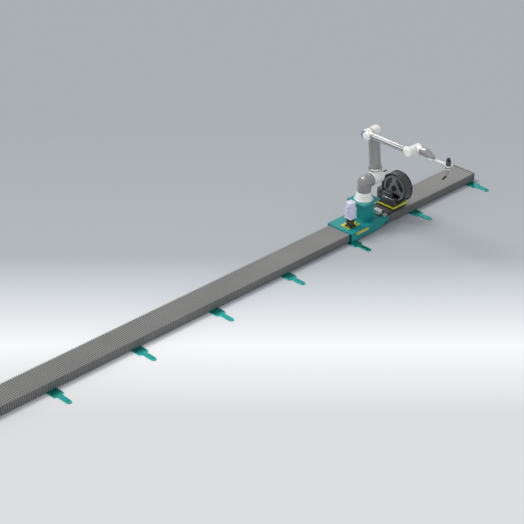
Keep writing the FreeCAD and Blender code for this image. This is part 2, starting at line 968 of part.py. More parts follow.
def gearbox():
    side = "gearbox_side / 2"
    low = "plate_top + motor_plate_thick"
    high = f"{low} + gearbox_height"
    square = (f"motor_x - {side}", f"motor_x + {side}"), (f"motor_y - {side}", f"motor_y + {side}")
    foot = box("gearbox_foot", *square, (low, f"{low} + gearbox_flange"))
    barrel = rod("gearbox_barrel", "z", "gearbox_radius", ("motor_x", "motor_y", low), "gearbox_height")
    head = box("gearbox_head", *square, (f"{high} - gearbox_flange", high))
    start = ("motor_x", "motor_y", f"{low} + (gearbox_height - band_height) / 2")
    band = rod("gearbox_band", "z", "gearbox_radius + gearbox_band", start, "band_height")
    whole = fuse("gearbox_whole", foot, barrel, head, band)
    start = ("motor_x", "motor_y", f"{low} - tool_overrun")
    bore = rod("gearbox_bore", "z", "shaft_radius + running_gap", start, "gearbox_flange + 2 * tool_overrun")
    node("gearbox", cut("gearbox", whole, bore))


def servo_motor():
    low = "plate_top + motor_plate_thick + gearbox_height"
    high = f"{low} + motor_height"

    def square(name, half, bottom, top):
        span_x = (f"motor_x - ({half})", f"motor_x + {half}")
        span_y = (f"motor_y - ({half})", f"motor_y + {half}")
        return box(name, span_x, span_y, (bottom, top))

    flange = square("motor_flange_box", "motor_side / 2 - motor_waist", low, f"{low} + motor_flange")
    waist = f"{low} + motor_flange"
    whole = square("motor_box", "motor_side / 2", waist, high)
    block = chamfered("motor_block", whole, "motor_chamfer", upright)
    cap = square("encoder_box", "motor_side / 2 - encoder_inset", high, f"{high} + encoder_height")
    level = value(f"{high} + encoder_height")

    def picks(edge):
        return upright(edge) or abs(edge.BoundBox.ZMin - level) < SAME_PLACE

    lid = chamfered("encoder_cap", cap, "motor_chamfer * 0.8", picks)
    node("servo_motor", fuse("servo_motor", flange, block, lid))


def motor_plugs():
    plugs = []
    low = "plate_top + motor_plate_thick + gearbox_height"
    face = "motor_x - motor_side / 2"
    for number, height in enumerate(("motor_height * 0.66", "motor_height + encoder_height * 0.15")):
        reach = face if number == 0 else f"{face} + encoder_inset"
        plug = box(
            f"plug_{number}",
            (f"{face} - plug_length", reach),
            ("motor_y - plug_size / 2", "motor_y + plug_size / 2"),
            (f"{low} + {height}", f"{low} + {height} + plug_size"),
        )
        plugs.append(plug)
    node("motor_plugs", group("motor_plugs", *plugs))


pinion()
motor_plate()
gearbox()
servo_motor()
motor_plugs()


# Pedestal: welded square tube with a toe plate and a head plate

def pedestal():
    def centred(name, size, low, high):
        half = f"{size} / 2"
        span = (f"pedestal_x - {half}", f"pedestal_x + {half}")
        return box(name, span, (f"-{half}", half), (low, high))

    top = "plate_top + pedestal_height"
    toe = centred("pedestal_toe", "toe_plate", "plate_top", "plate_top + toe_thick")
    tube = centred("pedestal_tube_solid", "pedestal_tube", "plate_top", top)
    head = centred("pedestal_head", "head_plate", f"{top} - head_thick", top)
    whole = fuse("pedestal_whole", toe, tube, head)
    inside = "(pedestal_tube - 2 * tube_wall)"
    hollow = centred("pedestal_hollow", inside, "plate_top - tool_overrun", f"{top} - head_thick")
    node("pedestal", cut("pedestal", whole, hollow))


pedestal()
let("robot_foot", "plate_top + pedestal_height")
let("shoulder_z", "robot_foot + shoulder_height")
let("arm_x", "pedestal_x + arm_offset")
let("elbow_y", "upper_length * sin(upper_tilt)")
let("elbow_z", "shoulder_z + upper_length * cos(upper_tilt)")
let("fore_x", "arm_x - fore_offset")
let("wrist_y", "elbow_y - fore_length * cos(fore_drop)")
let("wrist_z", "elbow_z - fore_length * sin(fore_drop)")
let("hand_y", "wrist_y - hand_reach")
let("bend_y", "hand_y + flange_drop / tan(wrist_fall)")
let("flange_z", "wrist_z - flange_drop")


def tilted(item, degrees, start):
    item.Placement.Rotation = FreeCAD.Rotation(FreeCAD.Vector(1, 0, 0), 1)
    item.setExpression("Placement.Rotation.Angle", ex(degrees))
    bind_place(item, start)
    return item


# Robot arm: base, shoulder, upper arm, forearm, three wrist housings

def robot_base():
    node("robot_base", turned("robot_base", "z", ("pedestal_x", 0, "robot_foot"), [
        ("0", "base_radius"),
        ("base_rim", "base_radius"),
        ("base_rim", "base_radius - base_rim / 2"),
        ("base_height", "shoulder_radius"),
    ]))


def robot_shoulder():
    post = "shoulder_height - base_height - joint_gap"
    node("shoulder_housing", elbow(
        "shoulder_housing",
        ("pedestal_x", "0", "shoulder_z"),
        ("z", "shoulder_radius", f"-({post})", "0"),
        ("x", "shoulder_radius - seam_step", "0", "shoulder_reach"),
    ))


# A round can with a stepped lid on its closed end
def can_steps(length, radius, flip=False):
    steps = [
        ("0", radius),
        (f"{length} - lid_height", radius),
        (f"{length} - lid_height", f"{radius} - lid_inset"),
        (length, f"{radius} - lid_inset"),
    ]
    if flip:
        steps = [(f"-({distance})", size) for distance, size in steps]
    return steps


def upper_arm():
    place = ("arm_x", 0, "shoulder_z")
    inner = "shoulder_reach + joint_gap - arm_offset"
    length = f"arm_housing_out - ({inner})"
    can = turned("arm_can", "x", (inner, 0, 0), can_steps(length, "shoulder_radius"))
    neck = rod("arm_neck_rod", "z", "upper_ring - neck_inset", (0, 0, 0), "arm_neck")
    housing = fuse("upper_arm_lower_housing", can, neck)
    node("upper_arm_lower_housing", tilted(housing, "-upper_tilt", place))
    clamp = rod("arm_ring", "z", "upper_ring", (0, 0, "arm_neck"), "ring_height")
    node("upper_arm_ring", tilted(group("upper_arm_ring", clamp), "-upper_tilt", place))
    start = (0, 0, "arm_neck + ring_height")
    length = "upper_length - arm_neck - ring_height - elbow_neck"
    tube = rod("arm_tube", "z", "upper_tube", start, length)
    node("upper_arm_tube", tilted(group("upper_arm_tube", tube), "-upper_tilt", place))
    top = turned("arm_top", "z", (0, 0, "upper_length - elbow_neck"), [
        ("0", "upper_tube"),
        ("neck_rim", "upper_tube"),
        ("neck_rim", "elbow_radius - neck_inset"),
        ("elbow_neck", "elbow_radius - neck_inset"),
    ])
    start = ("-(elbow_joint - joint_gap)", 0, "upper_length")
    length = "elbow_joint - joint_gap + elbow_out"
    elbow = turned("arm_elbow", "x", start, can_steps(length, "elbow_radius"))
    housing = fuse("upper_arm_elbow_housing", top, elbow)
    node("upper_arm_elbow_housing", tilted(housing, "-upper_tilt", place))
    start = ("arm_housing_out", "-connector_front", "connector_up")
    plug = rod("arm_connector_rod", "x", "connector_radius", start, "connector_length")
    node("arm_connector", tilted(group("arm_connector", plug), "-upper_tilt", place))


def forearm():
    place = ("fore_x", "elbow_y", "elbow_z")
    low = "-fore_housing"
    reach = "fore_offset - elbow_joint"
    can = rod("fore_can", "x", "elbow_radius - seam_step", (low, 0, 0), f"{reach} + fore_housing")
    boss = rod("fore_boss_rod", "y", "fore_tube + neck_inset / 2", (0, "-fore_boss", 0), "fore_boss")
    node("forearm_elbow_housing", tilted(fuse("forearm_elbow_housing", can, boss), "fore_drop", place))
    cap = turned("fore_cap", "x", (low, 0, 0), [
        ("0", "elbow_radius - neck_inset"),
        ("-elbow_cap / 2", "elbow_radius - neck_inset"),
        ("-elbow_cap / 2", "elbow_radius - lid_inset"),
        ("-elbow_cap", "elbow_radius - lid_inset"),
    ])
    node("forearm_cap", tilted(group("forearm_cap", cap), "fore_drop", place))
    length = "fore_length - fore_boss - wrist_boss"
    start = (0, "-(fore_length - wrist_boss)", 0)
    tube = rod("fore_tube_rod", "y", "fore_tube", start, length)
    node("forearm_tube", tilted(group("forearm_tube", tube), "fore_drop", place))
    boss = rod("fore_end_boss", "y", "fore_tube + neck_inset", (0, "-fore_length", 0), "wrist_boss")
    start = ("wrist_outer", "-fore_length", 0)
    steps = can_steps("wrist_outer + wrist_inner", "wrist_radius", flip=True)
    can = turned("fore_end_can", "x", start, steps)
    node("forearm_wrist_housing", tilted(fuse("forearm_wrist_housing", boss, can), "fore_drop", place))


def wrists():
    inner = "fore_x + wrist_outer + joint_gap"
    steps = can_steps(f"arm_x + wrist_1_out - ({inner})", "wrist_radius - seam_step")
    can = turned("wrist1_can", "x", (inner, "wrist_y", "wrist_z"), steps)
    start = ("arm_x", "wrist_y - wrist_step", "wrist_z")
    stem = rod("wrist1_stem", "y", "wrist_radius - neck_inset", start, "wrist_step")
    node("wrist_1_housing", fuse("wrist_1_housing", can, stem))
    whole = elbow(
        "wrist2_whole",
        ("arm_x", "hand_y", "wrist_z"),
        ("y", "wrist_radius - seam_step * 2", "0", "hand_reach - wrist_step - joint_gap"),
        ("z", "wrist_radius - neck_inset", "-(flange_drop - flange_thick_robot - joint_gap)", "0"),
    )
    # The top of the elbow falls away towards the flange
    line = rod("wrist2_line", "y", "wrist_radius - seam_step", (0, "-hand_reach", 0), "hand_reach * 2")
    slope = tilted(group("wrist2_slope", line), "wrist_fall", ("arm_x", "hand_y", "flange_z"))
    fallen = doc.addObject("Part::MultiCommon", "wrist2_fallen")
    fallen.Shapes = [whole, slope]
    start = ("arm_x", "bend_y", "wrist_z")
    length = "wrist_y - wrist_step - joint_gap - bend_y"
    level = rod("wrist2_level", "y", "wrist_radius - seam_step * 2", start, length)
    # Room under the elbow for the flange to turn
    start = ("arm_x", "hand_y", "flange_z - flange_drop")
    height = "flange_drop + flange_thick_robot + joint_gap"
    room = rod("wrist2_room", "z", "flange_radius + neck_inset", start, height)
    node("wrist_2_housing", cut("wrist_2_housing", fuse("wrist2_body", fallen, level), room))
    disc = rod("tool_disc", "z", "flange_radius", ("arm_x", "hand_y", "flange_z"), "flange_thick_robot")
    node("tool_flange", group("tool_flange", disc))


robot_base()
robot_shoulder()
upper_arm()
forearm()
wrists()


# Torch held on the tool flange by a flat bracket

let("torch_y", "hand_y - torch_reach")
let("bracket_top", "flange_z")
let("bracket_low", "flange_z - bracket_thick")
let("torch_top", "bracket_low + torch_above")
let("torch_low", "torch_top - torch_height")


NOZZLE_TURN = FreeCAD.Rotation(FreeCAD.Vector(-1, -1, 0), value("180 - nozzle_angle"))


def torch():
    half = "bracket_width / 2"
    bar = box(
        "bracket_bar",
        (f"arm_x - {half}", f"arm_x + {half}"),
        ("torch_y", "hand_y"),
        ("bracket_low", "bracket_top"),
    )
    start = ("arm_x", "hand_y", "bracket_low")
    disc = rod("bracket_disc", "z", "flange_radius - neck_inset", start, "bracket_thick")
    start = ("arm_x", "torch_y", "bracket_low - clamp_lip")
    clamp = rod("bracket_clamp", "z", "torch_radius + clamp_wall", start, "bracket_thick + clamp_lip")
    start = ("arm_x", "torch_y", "bracket_low - clamp_lip - tool_overrun")
    bore = rod("bracket_bore", "z", "torch_radius", start, "bracket_thick + clamp_lip + 2 * tool_overrun")
    node("torch_bracket", cut("torch_bracket", fuse("bracket_whole", bar, disc, clamp), bore))
    barrel = rod("torch_barrel", "z", "torch_radius", ("arm_x", "torch_y", "torch_low"), "torch_height")
    node("torch_body", group("torch_body", barrel))
    node("torch_cap", turned("torch_cap", "z", ("arm_x", "torch_y", "torch_top"), [
        ("0", "torch_cap_radius"),
        ("torch_cap_height * torch_taper", "torch_cap_radius"),
        ("torch_cap_height * torch_taper", "torch_cap_radius * torch_taper"),
        ("torch_cap_height", "torch_cap_radius * torch_taper"),
    ]))
    start = ("arm_x", "torch_y", "torch_low - torch_ring_height")
    node("torch_ring", turned("torch_ring", "z", start, [
        ("0", "torch_ring_radius * torch_taper"),
        ("torch_ring_height / 2", "torch_ring_radius * torch_taper"),
        ("torch_ring_height / 2", "torch_ring_radius"),
        ("torch_ring_height", "torch_ring_radius"),
    ]))
    # The neck turns back towards the robot at its foot, in a mitre
    neck_low = "torch_low - torch_ring_height - neck_drop"
    mitre = "neck_radius * tan(nozzle_angle / 2)"
    start = ("arm_x", "torch_y", f"{neck_low} - {mitre}")
    stem = rod("neck_stem", "z", "neck_radius", start, f"neck_drop + {mitre}")
    bend = rod("neck_bend", "z", "neck_radius", ("arm_x", "torch_y", neck_low), "neck_bend")
    bend.Placement.Rotation = NOZZLE_TURN
    node("torch_neck", fuse("torch_neck", stem, bend))


def torch_nozzle():
    length = "nozzle_length - nozzle_tip"
    barrel = rod("nozzle_barrel", "z", "nozzle_radius", (0, 0, "neck_bend"), length)
    start = (0, 0, "neck_bend + nozzle_length - nozzle_tip")
    tip = rod("nozzle_end", "z", "nozzle_radius * torch_taper", start, "nozzle_tip")
    whole = fuse("torch_nozzle", barrel, tip)
    whole.Placement.Rotation = NOZZLE_TURN
    bind_place(whole, ("arm_x", "torch_y", "torch_low - torch_ring_height - neck_drop"))
    node("torch_nozzle", whole)


torch()
torch_nozzle()


# Feeder bracket, dampers and tray beyond the carriage's far end

let("shelf_low", "plate_top + shelf_rise - shelf_thick")
let("shelf_top", "plate_top + shelf_rise")
let("tray_low", "shelf_top + damper_height")
let("tray_floor", "tray_low + tray_wall")
let("tray_end", "tray_start + tray_length")


def feeder_bracket():
    start = "carriage_end + bracket_gap"
    shelf = box(
        "shelf_plate",
        (start, f"{start} + shelf_length"),
        ("tray_front + shelf_inset", "tray_back - shelf_inset"),
        ("shelf_low", "shelf_top"),
    )
    pieces = [shelf]
    for number, across in enumerate(("tray_front + arm_front_inset", "tray_back - arm_rear_inset")):
        pieces.append(box(
            f"shelf_arm_{number}",
            ("carriage_end - arm_back", f"{start} + shelf_length / 2"),
            (across, f"{across} + arm_bar"),
            ("plate_top", "shelf_low + shelf_thick / 2"),
        ))
    node("feeder_bracket", fuse("feeder_bracket", *pieces))


def tray_dampers():
    strips = []
    for number, along in enumerate(("tray_start + damper_inset", "tray_end - damper_width - damper_inset")):
        strips.append(box(
            f"damper_{number}",
            (along, f"{along} + damper_width"),
            ("tray_front + damper_side", "tray_back - damper_side"),
            ("shelf_top", "tray_low"),
        ))
    node("tray_dampers", group("tray_dampers", *strips))


def feeder_tray():
    body = new_body("feeder_tray")
    plan = new_sketch(body, "tray_plan", "XY_Plane", "tray_low")
    rectangle(plan, "tray_start", "tray_end", "tray_front", "tray_back")
    pad(body, plan, "tray_rim")
    inside = new_sketch(body, "tray_inside", "XY_Plane", "tray_floor")
    rectangle(
        inside,
        "tray_start + tray_wall",
        "tray_end - tray_wall",
        "tray_front + tray_wall",
        "tray_back - tray_wall",
    )
    item = body.newObject("PartDesign::Pocket", "tray_pocket")
    item.Profile = inside
    item.Reversed = True
    item.setExpression("Length", ex("tray_rim"))
    node("feeder_tray", body)


# Cradle for the drum, cut to the drum's round behind the front that stands before it
def drum_seat(name):
    start = ("drum_front - seat_gap", "drum_y", "drum_z")
    length = "feeder_depth - drum_set_back + seat_gap + tool_overrun"
    return rod(name, "x", "drum_radius + seat_gap", start, length)


def feeder_base():
    block = box(
        "feeder_block",
        ("feeder_x", "feeder_x + feeder_depth"),
        ("feeder_front", "feeder_back"),
        ("tray_floor", "tray_floor + feeder_height"),
    )
    slots = []
    middle = "(feeder_front + feeder_back) / 2"
    for index in range(int(SIZES["louvre_count"])):
        low = f"tray_floor + louvre_rise + {index} * louvre_pitch"
        slots.append(box(
            f"louvre_{index}",
            ("feeder_x - tool_overrun", "feeder_x + louvre_depth"),
            (f"{middle} - louvre_length / 2", f"{middle} + louvre_length / 2"),
            (low, f"{low} + louvre_height"),
        ))
    node("feeder_base", cut("feeder_base", block, drum_seat("feeder_seat"), *slots))


def wire_drive():
    low = "feeder_back"
    block = box(
        "drive_block",
        ("feeder_x", "feeder_x + feeder_depth"),
        (low, f"{low} + drive_width"),
        ("tray_floor", "tray_floor + drive_height"),
    )
    node("wire_drive", cut("wire_drive", block, drum_seat("drive_seat")))


# Distances along the drum's axis, from its open front
let("drum_front", "feeder_x + drum_set_back")
let("spool_start", "drum_width - drum_wall - spool_clear - spool_width")
let("spool_end", "spool_start + spool_width")
let("bore_radius", "axle_radius + running_gap")


def wire_drum():
    inside = "drum_radius - drum_rim - drum_wall"
    node("wire_drum", ring("wire_drum", "x", ("drum_front", "drum_y", "drum_z"), [
        ("spool_start + axle_step", "0"),
        ("spool_start + axle_step", "axle_radius"),
        ("drum_width - drum_wall", "axle_radius"),
        ("drum_width - drum_wall", inside),
        ("0", inside),
        ("0", "drum_radius"),
        ("drum_rim_width", "drum_radius"),
        ("drum_rim_width", "drum_radius - drum_rim"),
        ("drum_width - drum_rim_width", "drum_radius - drum_rim"),
        ("drum_width - drum_rim_width", "drum_radius"),
        ("drum_width", "drum_radius"),
        ("drum_width", "0"),
    ]))


# Star knob: its outline swings in and out once for each lobe
def star_knob():
    radius = value("knob_radius")
    bite = value("knob_bite")
    lobes = int(value("knob_lobes"))
    points = []
    for index in range(4 * lobes):
        turn = 2 * math.pi * index / (4 * lobes)
        reach = radius - bite * (1 - math.cos(lobes * turn)) / 2
        points.append(FreeCAD.Vector(0, reach * math.cos(turn), reach * math.sin(turn)))
    return prism_of(points, FreeCAD.Vector(value("knob_height"), 0, 0))


def wire_spool():
    place = ("drum_front", "drum_y", "drum_z")
    node("wire_spool", ring("wire_spool", "x", place, [
        ("spool_start", "bore_radius"),
        ("spool_start", "spool_radius"),
        ("spool_start + spool_flange", "spool_radius"),
        ("spool_start + spool_flange", "spool_core"),
        ("spool_end - spool_flange", "spool_core"),
        ("spool_end - spool_flange", "spool_radius"),
        ("spool_end", "spool_radius"),
        ("spool_end", "bore_radius"),
    ]))
    node("wire_winding", ring("wire_winding", "x", place, [
        ("spool_start + spool_flange", "spool_core"),
        ("spool_start + spool_flange", "winding_radius"),
        ("spool_end - spool_flange", "winding_radius"),
        ("spool_end - spool_flange", "spool_core"),
    ]))
    knob_item = feature("spool_knob", star_knob())
    bind_place(knob_item, ("drum_front + spool_start - knob_height", "drum_y", "drum_z"))
    node("spool_knob", knob_item)


feeder_bracket()
tray_dampers()
feeder_tray()
feeder_base()
wire_drive()
wire_drum()
wire_spool()


# Boxes on the carriage's far end

def junction_box():
    low_x = "carriage_end - junction_length - junction_inset"
    low_y = "-junction_width - junction_side"
    top = "plate_top + junction_height"

    def block(name, grown, low, high):
        item = box(
            name + "_block",
            (f"{low_x} - {grown}", f"{low_x} + junction_length + {grown}"),
            (f"{low_y} - {grown}", f"-junction_side + {grown}"),
            (low, high),
        )
        return chamfered(name, item, "corner_radius", upright)

    case = block("junction_case", "0", "plate_top", f"{top} - lid_thick")
    lid = block("junction_lid", "lid_overhang", f"{top} - lid_thick", top)
    node("junction_box", fuse("junction_box", case, lid))


def limit_switch():
    low_x = "carriage_end - switch_length - switch_inset"
    body = box(
        "switch_body",
        (low_x, f"{low_x} + switch_length"),
        ("-half_carriage + switch_side", "-half_carriage + switch_side + switch_width"),
        ("plate_top", "plate_top + switch_height"),
    )
    node("limit_switch", chamfered("limit_switch", body, "switch_height / 4", upright))


junction_box()
limit_switch()


# Every piece is checked before any is written
doc.recompute()
faults = []
for item in doc.Objects:
    if "Invalid" in item.State or "Error" in item.State:
        faults.append(f"{item.Name}: {item.State}")
for item in NODES:
    if item.Shape.isNull() or not item.Shape.isValid() or not item.Shape.Solids:
        faults.append(f"{item.Label}: its shape isn't whole")
if faults:
    raise RuntimeError("; ".join(faults))

os.makedirs("parts", exist_ok=True)
for item in NODES:
    item.Shape.exportStep(f"parts/{item.Label}.step")
print(len(NODES), "pieces written")
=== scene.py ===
import json
import bmesh
import bpy
import numpy as np
from mathutils import Matrix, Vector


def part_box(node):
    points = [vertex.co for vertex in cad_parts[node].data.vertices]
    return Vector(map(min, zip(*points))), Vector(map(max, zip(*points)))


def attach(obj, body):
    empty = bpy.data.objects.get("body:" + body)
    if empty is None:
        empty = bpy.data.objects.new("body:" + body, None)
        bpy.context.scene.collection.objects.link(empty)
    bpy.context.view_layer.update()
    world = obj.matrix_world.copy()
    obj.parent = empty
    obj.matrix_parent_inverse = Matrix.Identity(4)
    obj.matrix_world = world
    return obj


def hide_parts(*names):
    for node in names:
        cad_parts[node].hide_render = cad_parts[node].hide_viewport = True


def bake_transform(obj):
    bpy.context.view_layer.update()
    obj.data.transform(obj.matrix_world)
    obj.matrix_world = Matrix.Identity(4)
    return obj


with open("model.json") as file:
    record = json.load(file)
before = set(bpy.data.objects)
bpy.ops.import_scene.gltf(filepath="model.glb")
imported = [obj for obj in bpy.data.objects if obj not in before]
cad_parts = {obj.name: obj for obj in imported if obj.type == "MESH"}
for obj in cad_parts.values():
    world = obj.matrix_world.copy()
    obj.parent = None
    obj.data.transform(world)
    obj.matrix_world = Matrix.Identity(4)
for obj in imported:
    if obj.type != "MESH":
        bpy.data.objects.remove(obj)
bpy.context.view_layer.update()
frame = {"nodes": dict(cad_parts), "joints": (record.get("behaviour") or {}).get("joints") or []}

# Floor plates
# Steel plates cut by laser from 12 mm sheet and powder coated, one under the bed at each metre.
# Each has a tab with a bore for a floor anchor, and ends square under the far edge of the cover.
mm = 0.001
far_end = 240 * mm
same_place = 0.01 * mm


def linear(colour):
    """An sRGB hex colour as linear red, green and blue, with an alpha of one."""
    parts = [int(colour[i:i + 2], 16) / 255 for i in (1, 3, 5)]
    return [part / 12.92 if part <= 0.04045 else ((part + 0.055) / 1.055) ** 2.4 for part in parts] + [1.0]


def add(tree, kind, settings=None, links=None, stops=None):
    """Adds one node with its settings, by socket or property, its links, and the stops of a colour ramp."""
    made = tree.nodes.new(kind)
    for name, setting in (settings or {}).items():
        if isinstance(name, int) or name in made.inputs:
            made.inputs[name].default_value = setting
        else:
            setattr(made, name, setting)
    for name, source in (links or {}).items():
        tree.links.new(source, made.inputs[name])
    for index, (place, colour) in enumerate(stops or []):
        ramp = made.color_ramp.elements
        stop = ramp[index] if index < 2 else ramp.new(place)
        stop.position = place
        stop.color = linear(colour)
    return made


def empty_material(name):
    """A material whose node tree is empty, with that tree."""
    material = bpy.data.materials.new(name)
    material.use_nodes = True
    material.node_tree.nodes.clear()
    return material, material.node_tree


def textured(tree, blotches, stops, wear, roughness, height, relief, settings):
    """Ends a material's tree from three textures. The first picks the colour between the stops, the second
    the roughness between two values, and the third gives the relief, which is a strength and a depth."""
    shade = add(tree, "ShaderNodeValToRGB", {}, {"Fac": blotches.outputs[0]}, stops)
    span = {"To Min": roughness[0], "To Max": roughness[1]}
    shine = add(tree, "ShaderNodeMapRange", span, {"Value": wear.outputs[0]})
    bump = {"Strength": relief[0], "Distance": relief[1]}
    normal = add(tree, "ShaderNodeBump", bump, {"Height": height.outputs[0]})
    shader = add(
        tree, "ShaderNodeBsdfPrincipled", settings,
        {"Base Color": shade.outputs[0], "Roughness": shine.outputs[0], "Normal": normal.outputs[0]},
    )
    add(tree, "ShaderNodeOutputMaterial", {}, {"Surface": shader.outputs[0]})


def paint(name, colour, dusty, roughness=0.42, peel=0.12, gloss=0.0, flakes=0.0):
    """Powder coat or enamel on metal: an even colour with the fine ripple of the flowed paint, a little dust
    in soft clouds that also dulls the shine, a clear gloss over a shiny one, and metal flakes in a mirroring
    one."""
    material, tree = empty_material(name)
    place = add(tree, "ShaderNodeTexCoord").outputs["Object"]
    cloud = add(tree, "ShaderNodeTexNoise", {"Scale": 1 / (180 * mm), "Detail": 5.0}, {"Vector": place})
    ripple = add(tree, "ShaderNodeTexNoise", {"Scale": 1 / (2.5 * mm), "Detail": 1.0}, {"Vector": place})
    textured(
        tree, cloud, [(0.35, colour), (0.75, dusty)], cloud, (roughness - 0.06, roughness + 0.14),
        ripple, (peel, 0.1 * mm),
        {"IOR": 1.5, "Metallic": flakes, "Coat Weight": gloss, "Coat Roughness": 0.08},
    )
    return material


def dress(shown, material, edge=0.0):
    """Gives a node or piece its material, and rounds its sharp edges where a width is given, as a coat
    does."""
    if isinstance(shown, str):
        shown = frame["nodes"][shown]
    shown.data.materials.clear()
    shown.data.materials.append(material)
    if edge:
        shown.modifiers.new("weld", "WELD").merge_threshold = same_place
        bevel = shown.modifiers.new("edges", "BEVEL")
        bevel.width = edge
        bevel.segments = 2
        bevel.limit_method = "ANGLE"
        bevel.harden_normals = True
    return shown


def solid_copy(name, node, body, cut_at=None):
    """A copy of a node's solid with its points joined. Where a distance across the track is given, the copy
    is cut off square there and closed."""
    mesh = frame["nodes"][node].data.copy()
    solid = bmesh.new()
    solid.from_mesh(mesh)
    bmesh.ops.remove_doubles(solid, verts=solid.verts, dist=same_place)
    if cut_at is not None:
        bmesh.ops.bisect_plane(
            solid, geom=solid.verts[:] + solid.edges[:] + solid.faces[:],
            plane_co=(0, cut_at, 0), plane_no=(0, 1, 0), clear_outer=True,
        )
        bmesh.ops.holes_fill(solid, edges=[edge for edge in solid.edges if edge.is_boundary], sides=0)
        bmesh.ops.recalc_face_normals(solid, faces=solid.faces)
    solid.to_mesh(mesh)
    solid.free()
    shown = bpy.data.objects.new(name, mesh)
    bpy.context.collection.objects.link(shown)
    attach(shown, body)
    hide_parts(node)
    return shown


# Green-blue gloss coat with metal flakes: it mirrors the dark cover near the bed and the bright hall beyond
floor_coat = paint(
    "teal metallic coat on floor plate", "#38c4bb", "#2fb5ab", roughness=0.12, peel=0.01, flakes=0.95
)
dress(solid_copy("floor_plates_shown", "floor_plates", "track", far_end), floor_coat, edge=1.5 * mm)

# Bed and its clamps
# A hollow aluminium extrusion, clear anodised, that carries the rails and hides under the bellows.
# Zinc plated clamps hold its flanges down on the floor plates.


def metal(name, colour, stain_colour, roughness, grain=(1, 1, 1), grain_size=1.2 * mm, depth=0.03 * mm):
    """Bare metal: a colour with fine streaks along the way it was worked, which also spread its shine. The
    grain is stretched along each axis by the numbers given, and a metal keeps the default IOR."""
    material, tree = empty_material(name)
    place = add(tree, "ShaderNodeTexCoord").outputs["Object"]
    stretch = [1 / (grain_size * factor) for factor in grain]
    along = add(tree, "ShaderNodeMapping", {"Scale": stretch}, {"Vector": place})
    lines = add(tree, "ShaderNodeTexNoise", {"Scale": 1.0, "Detail": 3.0}, {"Vector": along.outputs[0]})
    stain = add(tree, "ShaderNodeTexNoise", {"Scale": 1 / (60 * mm), "Detail": 4.0}, {"Vector": place})
    textured(
        tree, stain, [(0.3, colour), (0.8, stain_colour)], lines, (roughness - 0.08, roughness + 0.1),
        lines, (0.2, depth), {"Metallic": 1.0},
    )
    return material


# Anodised extrusion: drawn lines along the bed, a pale matt sheen
anodised = metal("anodised aluminium extrusion", "#b4b6b8", "#a2a4a7", 0.38, grain=(60, 1, 1))
# Zinc plate: bluish grey with soft blotches of its passivation
zinc_plate = metal("zinc plated steel", "#b3b6ba", "#9fa39d", 0.34, grain=(3, 3, 3))
dress("bed_profile", anodised)
dress("bed_clamps", zinc_plate, edge=1.0 * mm)

# Rails, guide blocks, rack and pinion
# Hardened rails ground along their length, blocks that run on them, and a milled rack with its pinion.
# The teeth carry a film of grease, so they look darker than the rails.
ground_steel = metal("ground rail steel", "#a6a8ab", "#94969a", 0.22, grain=(80, 1, 1), depth=0.01 * mm)
greased_steel = metal("milled and greased gear steel", "#6e6a64", "#57534c", 0.3, grain=(1, 1, 12))
for name in ("guide_rail_front", "guide_rail_back", "guide_blocks"):
    dress(name, ground_steel)
for name in ("gear_rack", "pinion"):
    dress(name, greased_steel)
dress("rack_screws", zinc_plate)
dress("block_spacers", anodised)
dress("stop_lugs", zinc_plate, edge=1.0 * mm)

# Ends of the track
# A painted plate closes the bellows at each end, with its screws sunk flush. Behind it stands a steel stop
# with a rubber buffer, which the carriage's lug would meet if the drive ran too far.


def moulded(name, colour, worn, roughness, gloss=0.0):
    """Moulded plastic or rubber: an even colour, the fine sparkle of the mould's texture and a soft shine."""
    material, tree = empty_material(name)
    place = add(tree, "ShaderNodeTexCoord").outputs["Object"]
    grain = add(tree, "ShaderNodeTexVoronoi", {"Scale": 1 / (0.8 * mm)}, {"Vector": place})
    cloud = add(tree, "ShaderNodeTexNoise", {"Scale": 1 / (70 * mm), "Detail": 4.0}, {"Vector": place})
    textured(
        tree, cloud, [(0.35, colour), (0.8, worn)], cloud, (roughness - 0.05, roughness + 0.1),
        grain, (0.25, 0.05 * mm), {"IOR": 1.46, "Coat Weight": gloss, "Coat Roughness": 0.1},
    )
    return material


def grid_faces(rows, columns):
    """The four corner numbers of each face between two neighbouring rows and columns of a grid."""
    row = np.arange(rows - 1)[:, None] * columns
    column = np.arange(columns - 1)[None, :]
    corners = (row + column, row + column + 1, row + columns + column + 1, row + columns + column)
    return np.stack(corners, -1).reshape(-1, 4)


def piece(name, body, material, surfaces, replaces=(), sharp=35, attribute=None):
    """One mesh from surfaces, each an array of rows by columns of points. Points that meet at a seam or pole
    are joined, all faces are turned outwards, and edges sharper than the angle stay crisp."""
    counts = [surface.shape[0] * surface.shape[1] for surface in surfaces]
    starts = np.cumsum([0] + counts[:-1])
    points = np.concatenate([surface.reshape(-1, 3) for surface in surfaces])
    grids = [start + grid_faces(*surface.shape[:2]) for start, surface in zip(starts, surfaces)]
    mesh = bpy.data.meshes.new(name)
    mesh.from_pydata(points.tolist(), [], np.concatenate(grids).tolist())
    if attribute is not None:
        label, numbers = attribute
        mesh.attributes.new(label, "FLOAT", "POINT").data.foreach_set("value", numbers.astype(np.float32))
    merged = bmesh.new()
    merged.from_mesh(mesh)
    bmesh.ops.remove_doubles(merged, verts=merged.verts, dist=0.001 * mm)
    bmesh.ops.dissolve_degenerate(merged, edges=merged.edges, dist=0.0001 * mm)
    bmesh.ops.recalc_face_normals(merged, faces=merged.faces)
    merged.to_mesh(mesh)
    merged.free()
    mesh.shade_smooth()
    mesh.set_sharp_from_angle(angle=np.radians(sharp))
    mesh.materials.append(material)
    shown = bpy.data.objects.new(name, mesh)
    bpy.context.collection.objects.link(shown)
    if body:
        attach(shown, body)
    if replaces:
        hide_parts(*replaces)
    return shown


